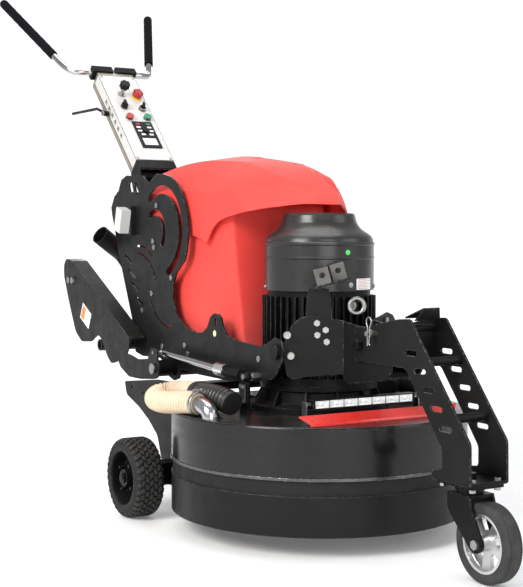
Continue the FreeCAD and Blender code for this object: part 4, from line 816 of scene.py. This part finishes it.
# Left half of the carcass, (distance from the middle plane, radius)
TYRE_PROFILE = [
    (-TYRE_HALF + 0.003, 0.084), (-TYRE_HALF + 0.001, 0.086), (-TYRE_HALF - 0.0005, 0.092),
    (-TYRE_HALF + 0.0005, 0.0985), (-TYRE_HALF + 0.0045, 0.106),
    (-TYRE_HALF + 0.0095, 0.1112), (-TYRE_HALF + 0.017, 0.1138), (-0.015, CARCASS_RADIUS)]
MOULD_RINGS = [(0.0955, 0.0), (0.1015, 0.0022)]  # (radius, inset from the side wall)
BLOCK_COUNT = 34          # round the tyre
BLOCK_PITCH = 2 * math.pi / BLOCK_COUNT
BLOCK_COLUMNS = [-0.0275, -0.0138, 0.0, 0.0138, 0.0275]
BLOCK_HALF = 0.0058
# Stepped outline of a block, (x in half widths, angle in pitches)
BLOCK_OUTLINE = [(-1, -0.40), (-0.15, -0.40), (0.15, -0.22), (1, -0.22), (1, 0.22),
                 (0.55, 0.40), (-0.15, 0.40), (-0.45, 0.22), (-1, 0.22)]
# Outline of a shoulder block, (x, angle in pitches)
SHOULDER_OUTLINE = [(0.0348, -0.33), (0.0348, 0.33), (SHOULDER_X, 0.30),
                    (0.0440, 0.22), (0.0440, -0.22), (SHOULDER_X, -0.30)]


def build_tyre(side, name, node, body):
    solids = Solids()
    center = Vector((side * TYRE_X, TYRE_Y, TYRE_Z))
    profile = (TYRE_PROFILE + [(0, 0.1148)] + mirrored(TYRE_PROFILE)
               + [(TYRE_HALF - 0.006, 0.0825), (-TYRE_HALF + 0.006, 0.0825), TYRE_PROFILE[0]])
    solids.lathe(center, X_AXIS, profile, 96, finish=1, closed=False)
    for wall in (-1, 1):
        for radius, inset in MOULD_RINGS:
            x = wall * (TYRE_HALF + 0.0002 - inset)
            ring = [(x - wall * 0.001, radius - 0.0011), (x + wall * 0.0009, radius - 0.0005),
                    (x + wall * 0.0009, radius + 0.0005), (x - wall * 0.001, radius + 0.0011)]
            solids.lathe(center, X_AXIS, ring, 96, finish=1, closed=False)

    def on_tread(x, angle, height):
        """Point at this height above the carcass."""
        radius = (CARCASS_RADIUS - max(0.0, abs(x) / TYRE_HALF - 0.55) ** 2 * 0.030 + height
                  - max(0.0, abs(x) - SHOULDER_X))
        return center + Vector((x, math.cos(angle) * radius, math.sin(angle) * radius))

    def wave_block(column_x, angle, flip):
        outline = [(column_x + u * BLOCK_HALF, angle + BLOCK_PITCH * v * 1.02 * flip)
                   for u, v in BLOCK_OUTLINE]
        if flip < 0:
            outline.reverse()
        count = len(outline)
        mid_x = sum(x for x, _ in outline) / count
        mid_a = sum(a for _, a in outline) / count
        verts = [on_tread(x, a, height) for height in (-0.0015, 0.0046) for x, a in outline]
        verts += [on_tread(mid_x + (x - mid_x) * 0.88, mid_a + (a - mid_a) * 0.88, 0.0053)
                  for x, a in outline]
        verts.append(on_tread(mid_x, mid_a, 0.0054))
        faces = ring_faces(count, 3)
        faces += [(2 * count + j, 2 * count + (j + 1) % count, 3 * count)
                  for j in range(count)]
        solids.add(verts, faces)

    # neighbouring columns are flipped and half a pitch apart
    for column, column_x in enumerate(BLOCK_COLUMNS):
        odd = column % 2
        for k in range(BLOCK_COUNT):
            wave_block(column_x, BLOCK_PITCH * (k + 0.5 * odd), 1 if odd else -1)
    for shoulder in (-1, 1):
        for k in range(BLOCK_COUNT):
            outline = [(shoulder * x, BLOCK_PITCH * (k + 0.25) + BLOCK_PITCH * v)
                       for x, v in SHOULDER_OUTLINE]
            if shoulder > 0:
                outline.reverse()
            count = len(outline)
            verts = [on_tread(x, a, height) for height in (-0.003, 0.0040) for x, a in outline]
            solids.add(verts, ring_faces(count, 2) + [tuple(range(count, 2 * count))])
    solids.build(name, body, ["turf_rubber", "sidewall_rubber"], smooth=32, replaces=[node],
                 slot="tyre")


build_tyre(-1, "tyre_left", "rear_tyre_left", "rear_wheel_left")
build_tyre(1, "tyre_right", "rear_tyre_right", "rear_wheel_right")

CASTER_CENTER = (0, -0.761, 0.100)
# Left half of the caster tyre, (distance from the middle plane, radius)
CASTER_PROFILE = [
    (-0.0235, 0.0742), (-0.0245, 0.0752), (-0.0250, 0.080), (-0.0250, 0.090),
    (-0.0242, 0.0945), (-0.0220, 0.0975), (-0.0185, 0.0990), (-0.0165, 0.0993),
    (-0.0158, 0.0983), (-0.0148, 0.0983), (-0.0141, 0.0995), (-0.006, 0.0999)]


def build_caster_tyre():
    solids = Solids()
    profile = CASTER_PROFILE + mirrored(CASTER_PROFILE) + [(0.0, 0.0741), CASTER_PROFILE[0]]
    solids.lathe(CASTER_CENTER, X_AXIS, profile, 96, closed=False)
    solids.build("caster_tread", "caster_wheel", ["caster_rubber"], smooth=40,
                 replaces=["caster_tyre"], slot="rubber")


build_caster_tyre()

# =====================================================================
# Hoses
# =====================================================================
# Centre lines of the right-hand hoses, (x, y, z) mm
CREAM_PATH = [(402, -4, 382), (412, 40, 383), (424, 105, 376), (431, 170, 372),
              (424, 222, 374), (398, 252, 380), (366, 240, 387), (347, 198, 392),
              (342, 150, 394), (341, 110, 395)]
BLACK_PATH = [(341, 124, 395), (341, 90, 396), (340, 40, 397), (338, -10, 396),
              (335, -48, 391), (331, -74, 384)]
# Section of the steel band, (distance along the hose, radius)
BAND_PROFILE = [(0, 0.0300), (0.0, 0.0335), (0.001, 0.0342), (0.010, 0.0342),
                (0.011, 0.0335), (0.011, 0.0300)]


def hose_path(points, side):
    return resample(spline([Vector((side * x, y, z)) * MM for x, y, z in points], 14), 0.0013)


def cream_radius(length, angle):
    """Rounded ribs with narrow grooves, on a slight helix."""
    pitch, mean, depth = 0.0115, 0.0298, 0.0056
    phase = (length / pitch + angle / (2 * math.pi)) % 1.0
    return mean + depth * (math.sin(math.pi * phase) ** 0.7) - depth * 0.5


def black_radius(length, angle):
    """Smooth sleeve with a lip at its end, then plain ribs."""
    sleeve, pitch = 0.030, 0.0150
    if length < sleeve:
        return 0.0338 + (0.0012 if length > 0.024 else 0.0) - (0.003 if length < 0.002 else 0.0)
    phase = ((length - sleeve) / pitch) % 1.0
    return 0.0272 + 0.0070 * (math.sin(math.pi * phase) ** 0.6)


def build_hose(side, tag):
    path = hose_path(CREAM_PATH, side)
    solids = Solids()
    solids.tube(path, cream_radius)
    solids.build("hose_cream_" + tag, "chassis", ["hose_cream"], smooth=60,
                 replaces=["dust_hoses"], slot="hose")
    # steel band with its screw block on top, at the front end of the cream hose
    solids = Solids()
    along = (path[8] - path[0]).normalized()
    solids.lathe(path[0] - along * 0.002, along, BAND_PROFILE, 36, closed=False)
    solids.box(path[5] + Vector((side * 0.004, 0, 0.036)), (Y_AXIS, X_AXIS, Z_AXIS),
               (0.005, 0.009, 0.004), chamfer=0.001)
    solids.lathe(path[5] + Vector((-0.012, 0, 0.038)), X_AXIS,
                 [(0, 0.0022), (0.024, 0.0022), (0.024, 0.0038), (0.028, 0.0038)], 12)
    solids.build("hose_band_" + tag, "chassis", ["zinc_plate"], smooth=40,
                 replaces=["dust_hoses"], slot="zinc")
    solids = Solids()
    solids.tube(hose_path(BLACK_PATH, side), black_radius)
    solids.build("hose_black_" + tag, "chassis", ["hose_black"], smooth=60,
                 replaces=["dust_hoses"], slot="rubber")


build_hose(-1, "left")
build_hose(1, "right")


# =====================================================================
# Foam grips, and panel seams with painted shadow
# =====================================================================
def build_grip(side, tag):
    drop = 0.010 if side > 0 else 0.0  # the right grip sits lower
    start = Vector((side * 0.201, 1.570, 1.542 - drop))
    end = Vector((side * 0.317, 1.821, 1.774 - drop))
    radius, begin, dome_start, dome_length, steps = 0.0174, 0.009, 0.355, 0.0175, 60
    profile = [(0.004, 0.0134), (0.0035, 0.0150), (0.005, 0.0168), (begin, 0.0175)]
    # slightly uneven barrel, then a domed end
    for k in range(1, steps):
        unevenness = 0.00025 * math.sin(k * 0.9) + 0.0002 * math.sin(k * 2.3 + 1)
        profile.append((begin + (dome_start - begin) * k / steps, radius + unevenness))
    for k in range(9):
        t = math.radians(90 * k / 8)
        profile.append((dome_start + math.sin(t) * dome_length,
                        max(0.0004, radius * math.cos(t))))
    solids = Solids()
    solids.lathe(start, (end - start).normalized(), profile, 40, closed=False)
    solids.build("grip_" + tag, "column", ["foam_grip"], smooth=60, replaces=["hand_grips"],
                 slot="foam")


build_grip(-1, "left")
build_grip(1, "right")


def build_panel_shadow_and_seams():
    """Dark strips along the panel's edges: painted shadow in the corners between the panel
    face and its flanges, and dark seam lines at the flanges' lower edges and across the ends.
    """
    length, strip = 0.482, 0.0006
    half, chamfer = length / 2, 0.0002
    middle = PANEL_FOOT + PANEL_UP * half
    solids = Solids()
    for side in (-1, 1):
        out = X_AXIS * side
        # painted shadow in the corner between the panel face and this flange
        solids.box(middle + out * 0.0757, (PANEL_UP, out, PANEL_OUT),
                   (half, 0.0007, strip), chamfer=chamfer)
        # dark seam line along the flange's lower edge
        solids.box(middle + out * 0.0761 - PANEL_OUT * 0.0450, (PANEL_UP, PANEL_OUT, out),
                   (half, 0.0011, 0.0005), chamfer=chamfer)
    # dark seam lines across the panel's ends
    for up in (strip, length - strip):
        solids.box(PANEL_FOOT + PANEL_UP * up + PANEL_OUT * 0.0002,
                   (X_AXIS, PANEL_UP, PANEL_OUT), (0.0755, strip, strip), chamfer=chamfer)
    solids.build("panel_shadow_and_seams", "column", ["moulded_black"], slot="black_plastic")


build_panel_shadow_and_seams()

# =====================================================================
# Lamp bar: seven lamp cells in a black case, facing the front
# =====================================================================
LAMP_CENTER = Vector((0, -0.221, 0.389))
LAMP_X, LAMP_Y, LAMP_Z = 0.172, 0.015, 0.013  # half sizes
LAMP_CELLS = 7
LAMP_PITCH = 2 * (LAMP_X - 0.007) / LAMP_CELLS


def add_lamp_cell(solids, center):
    """Stepped square funnel with a round lamp in the middle."""
    width, height = LAMP_PITCH / 2 - 0.0012, LAMP_Z - 0.003
    verts = []
    for across, up, back in ((1, 1, -0.0022), (0.94, 0.90, -0.0022),
                             (0.55, 0.55, 0.0020), (0.25, 0.30, 0.0020)):
        for sx, sz in ((1, 1), (-1, 1), (-1, -1), (1, -1)):
            verts.append(center + Vector((sx * width * across, back, sz * height * up)))
    solids.add(verts, ring_faces(4, 4) + [(12, 13, 14, 15)], 1)
    solids.lathe(center + Y_AXIS * 0.0018, -Y_AXIS,
                 [(0, 0.0062), (0.0012, 0.0058), (0.0020, 0.0042), (0.0024, 0.0016)], 20, 1)


def build_lamp_bar():
    solids = Solids()
    solids.box(LAMP_CENTER + Y_AXIS * 0.003, (X_AXIS, Z_AXIS, Y_AXIS),
               (LAMP_X, LAMP_Z, LAMP_Y - 0.003), chamfer=0.002)
    # top and bottom lips and end caps frame the lenses
    for side in (1, -1):
        lip, cap = 0.0012, 0.003
        solids.box(LAMP_CENTER + Z_AXIS * side * (LAMP_Z - lip) - Y_AXIS * 0.0135,
                   (X_AXIS, Y_AXIS, Z_AXIS * side), (LAMP_X, 0.0026, lip), chamfer=0.0004)
        solids.box(LAMP_CENTER + X_AXIS * side * (LAMP_X - cap) - Y_AXIS * 0.0115,
                   (Z_AXIS, Y_AXIS, X_AXIS * side), (LAMP_Z - lip, 0.0046, cap),
                   chamfer=0.0006)
    # ribs along the back
    for k in range(5):
        solids.box(LAMP_CENTER + Vector((0, 0.0145, -0.010 + 0.005 * k)),
                   (X_AXIS, Z_AXIS, Y_AXIS), (LAMP_X - 0.006, 0.0010, 0.0018))
    for k in range(LAMP_CELLS):
        x = -LAMP_X + 0.007 + LAMP_PITCH * (k + 0.5)
        add_lamp_cell(solids, LAMP_CENTER + Vector((x, -0.0125, 0)))
        if k:  # bar between this cell and the one before
            solids.box(LAMP_CENTER + Vector((x - LAMP_PITCH / 2, -0.0135, 0)),
                       (Z_AXIS, X_AXIS, -Y_AXIS), (LAMP_Z - 0.0026, 0.0010, 0.0016),
                       chamfer=0.0003)
    bar = solids.build("lamp_bar", "chassis", ["powder_black", "lamp_lens"], smooth=30,
                       replaces=["light_bar"], slot="clear_lens")
    fix_normals(bar)


build_lamp_bar()

# =====================================================================
# Labels and cowl screws
# =====================================================================
COWL_RADIUS = 0.1600


def build_motor_label():
    """Blank label bent round the cowl, with thin relief bars."""
    middle, half = math.atan2(-0.151, 0.057), 0.215  # angle and half angle
    low, high, radius, thickness, rows = 0.6958, 0.7275, COWL_RADIUS + 0.0003, 0.0005, 7
    solids = Solids()

    def patch(start, end, bottom, top, inner, depth, finish):
        steps = 8
        verts = []
        for k in range(steps + 1):
            a = start + (end - start) * k / steps
            verts += [(math.cos(a) * r, math.sin(a) * r, z)
                      for r in (inner, inner + depth) for z in (bottom, top)]
        faces = []
        for b in range(0, 4 * steps, 4):
            faces += [(b + 2, b + 6, b + 7, b + 3), (b, b + 1, b + 5, b + 4),
                      (b + 1, b + 3, b + 7, b + 5), (b, b + 4, b + 6, b + 2)]
        last = 4 * steps
        faces += [(0, 2, 3, 1), (last, last + 1, last + 3, last + 2)]
        solids.add(verts, faces, finish)

    patch(middle - half, middle + half, low, high, radius, thickness, 0)
    for k in range(rows):
        z = low + (high - low) * (k + 0.75) / (rows + 0.5)
        patch(middle - half * 0.82, middle + half * (0.82 if k % 2 else 0.35),
              z, z + (high - low) * 0.028, radius + thickness, 0.0002, 1)
    label = solids.build("label_motor", "chassis", ["sticker_white", "guard_red"], smooth=40)
    fix_normals(label)


def on_cowl(x, y, z):
    """Point just off the cowl in the direction of (x, y) at height z, and that direction."""
    angle = math.atan2(y, x)
    out = Vector((math.cos(angle), math.sin(angle), 0))
    return out * (COWL_RADIUS + 0.0001) + Vector((0, 0, z)), out


def build_dot(name, center, normal, radius, finish, thickness):
    solids = Solids()
    solids.lathe(center, normal,
                 [(0, radius), (thickness * 0.6, radius), (thickness, radius * 0.93)])
    solids.build(name, "chassis", [finish], smooth=40)


def build_cowl_screws():
    """Stepped round heads on the lower part of the cowl."""
    places = ((-152, 52, 0.702), (3, -161, 0.710), (118, -110, 0.704), (60, 150, 0.704))
    for i, place in enumerate(places):
        solids = Solids()
        solids.lathe(*on_cowl(*place),
                     [(0, 0.0075), (0.001, 0.0075), (0.0012, 0.0055), (0.0035, 0.0052),
                      (0.0042, 0.0040)], 24)
        solids.build("cowl_screw_%d" % i, "chassis", ["zinc_plate"], smooth=40, slot="zinc")


def build_arm_label():
    """Blank white sticker with an orange block, on the outer face of the left arm."""
    center = Vector((-0.2852, 1.075, 0.566))
    up_arm, across = Vector((0, 0.894, 0.447)), Vector((0, -0.447, 0.894))
    axes = (up_arm, across, -X_AXIS)
    solids = Solids()
    solids.box(center, axes, (0.042, 0.030, 0.0003))
    solids.box(center + up_arm * 0.022 + Vector((-0.0004, 0, 0)), axes,
               (0.015, 0.024, 0.0002), finish=1)
    solids.build("label_arm", "rear_arms", ["sticker_white", "sticker_orange"])


build_motor_label()
build_dot("mark_green", *on_cowl(-7, -161, 0.802), radius=0.0075, finish="dot_green",
          thickness=0.0009)
build_cowl_screws()
build_dot("mark_plate", Vector((-0.2153, 0.2450, 0.5550)), -X_AXIS, radius=0.0095,
          finish="dot_yellow", thickness=0.0004)
build_arm_label()


# =====================================================================
# Stage: floor, soft lights, camera
# =====================================================================
def pale_floor():
    """Pale floor that turns into a faintly glowing backdrop far behind."""
    m = Material("pale_floor")
    patches = m.noise(2.2, rough=0.6)
    far = m.ramp(m.axis(1), span=(1.6, 5.5))
    near_color = m.mix(m.ramp(patches), (0.86, 0.86, 0.855), (0.90, 0.90, 0.895))
    m.finish(color=m.mix(far, near_color, (0.5, 0.5, 0.5)),
             rough=m.ramp(m.noise(9), to=(0.5, 0.62)),
             normal=m.bump(m.noise(120, detail=3), strength=0.03, depth=0.0008),
             emit=(1.0, 1.0, 1.0), emit_strength=m.ramp(far, span=(0.0, 1.0), to=(0.10, 0.80)))


def build_floor():
    """Flat floor that curls up into a backdrop."""
    half_width, front, back, curl, steps, flat = 24, -14, 16, 8, 24, 0.6
    verts = []
    for i in range(steps + 1):
        t = i / steps
        if t < flat:
            y, z = front + t / flat * (back - front), 0.0
        else:
            angle = (t - flat) / (1 - flat) * math.pi / 2
            y, z = back + curl * math.sin(angle), curl * (1 - math.cos(angle))
        verts += [(-half_width, y, z), (half_width, y, z)]
    faces = [(2 * i, 2 * i + 1, 2 * i + 3, 2 * i + 2) for i in range(steps)]
    mesh = bpy.data.meshes.new("floor")
    mesh.from_pydata(verts, [], faces)
    mesh.shade_smooth()
    mesh.materials.append(FINISHES["pale_floor"])
    floor = bpy.data.objects.new("floor", mesh)
    COLLECTION.objects.link(floor)
    floor.location = (0, 0, -0.0005)
    floor.rotation_euler = (0, 0, math.radians(-30.6))


def area_light(name, place, target, size, power, color=(1, 1, 1)):
    light = bpy.data.lights.new(name, "AREA")
    light.shape = "RECTANGLE"
    light.size = size
    light.size_y = size
    light.energy = power
    light.color = color
    lamp = bpy.data.objects.new(name, light)
    COLLECTION.objects.link(lamp)
    lamp.location = place
    aim = Vector(target) - Vector(place)
    lamp.rotation_euler = aim.to_track_quat("-Z", "Y").to_euler()


def set_world():
    world = bpy.data.worlds.new("studio")
    bpy.context.scene.world = world
    world.use_nodes = True
    background = world.node_tree.nodes["Background"]
    background.inputs["Color"].default_value = (0.93, 0.95, 1.0, 1.0)
    background.inputs["Strength"].default_value = 0.46
    bpy.context.scene.view_settings.view_transform = "Standard"


def set_camera():
    """Long lens from the front left, looking slightly down."""
    data = bpy.data.cameras.new("camera")
    camera = bpy.data.objects.new("camera", data)
    COLLECTION.objects.link(camera)
    data.sensor_width = 36.0
    data.sensor_fit = "AUTO"
    data.lens = 78.62
    data.clip_end = 200
    data.shift_x = -0.0047
    data.shift_y = 0.0002
    turn, tilt = math.radians(30.62), math.radians(2.59)
    forward = Vector((math.sin(turn) * math.cos(tilt), math.cos(turn) * math.cos(tilt),
                      -math.sin(tilt)))
    camera.location = (-2.0497, -3.1481, 0.8495)
    camera.rotation_euler = forward.to_track_quat("-Z", "Y").to_euler()
    bpy.context.scene.camera = camera


pale_floor()
build_floor()
area_light("key", place=(-4.6, -1.2, 3.4), target=(0, 0.3, 0.7), size=2.6, power=320,
           color=(1.0, 0.985, 0.965))
area_light("fill", place=(3.2, -4.2, 2.6), target=(0, 0.2, 0.5), size=3.2, power=75,
           color=(0.96, 0.98, 1.0))
area_light("front", place=(-1.4, -5.2, 1.6), target=(0, 0.0, 0.5), size=3.0, power=80)
area_light("top", place=(0.2, 0.6, 5.2), target=(0, 0.3, 0.6), size=3.4, power=105)
area_light("rim", place=(1.8, 4.6, 2.8), target=(0, 0.6, 0.8), size=2.6, power=55)
set_world()
set_camera()
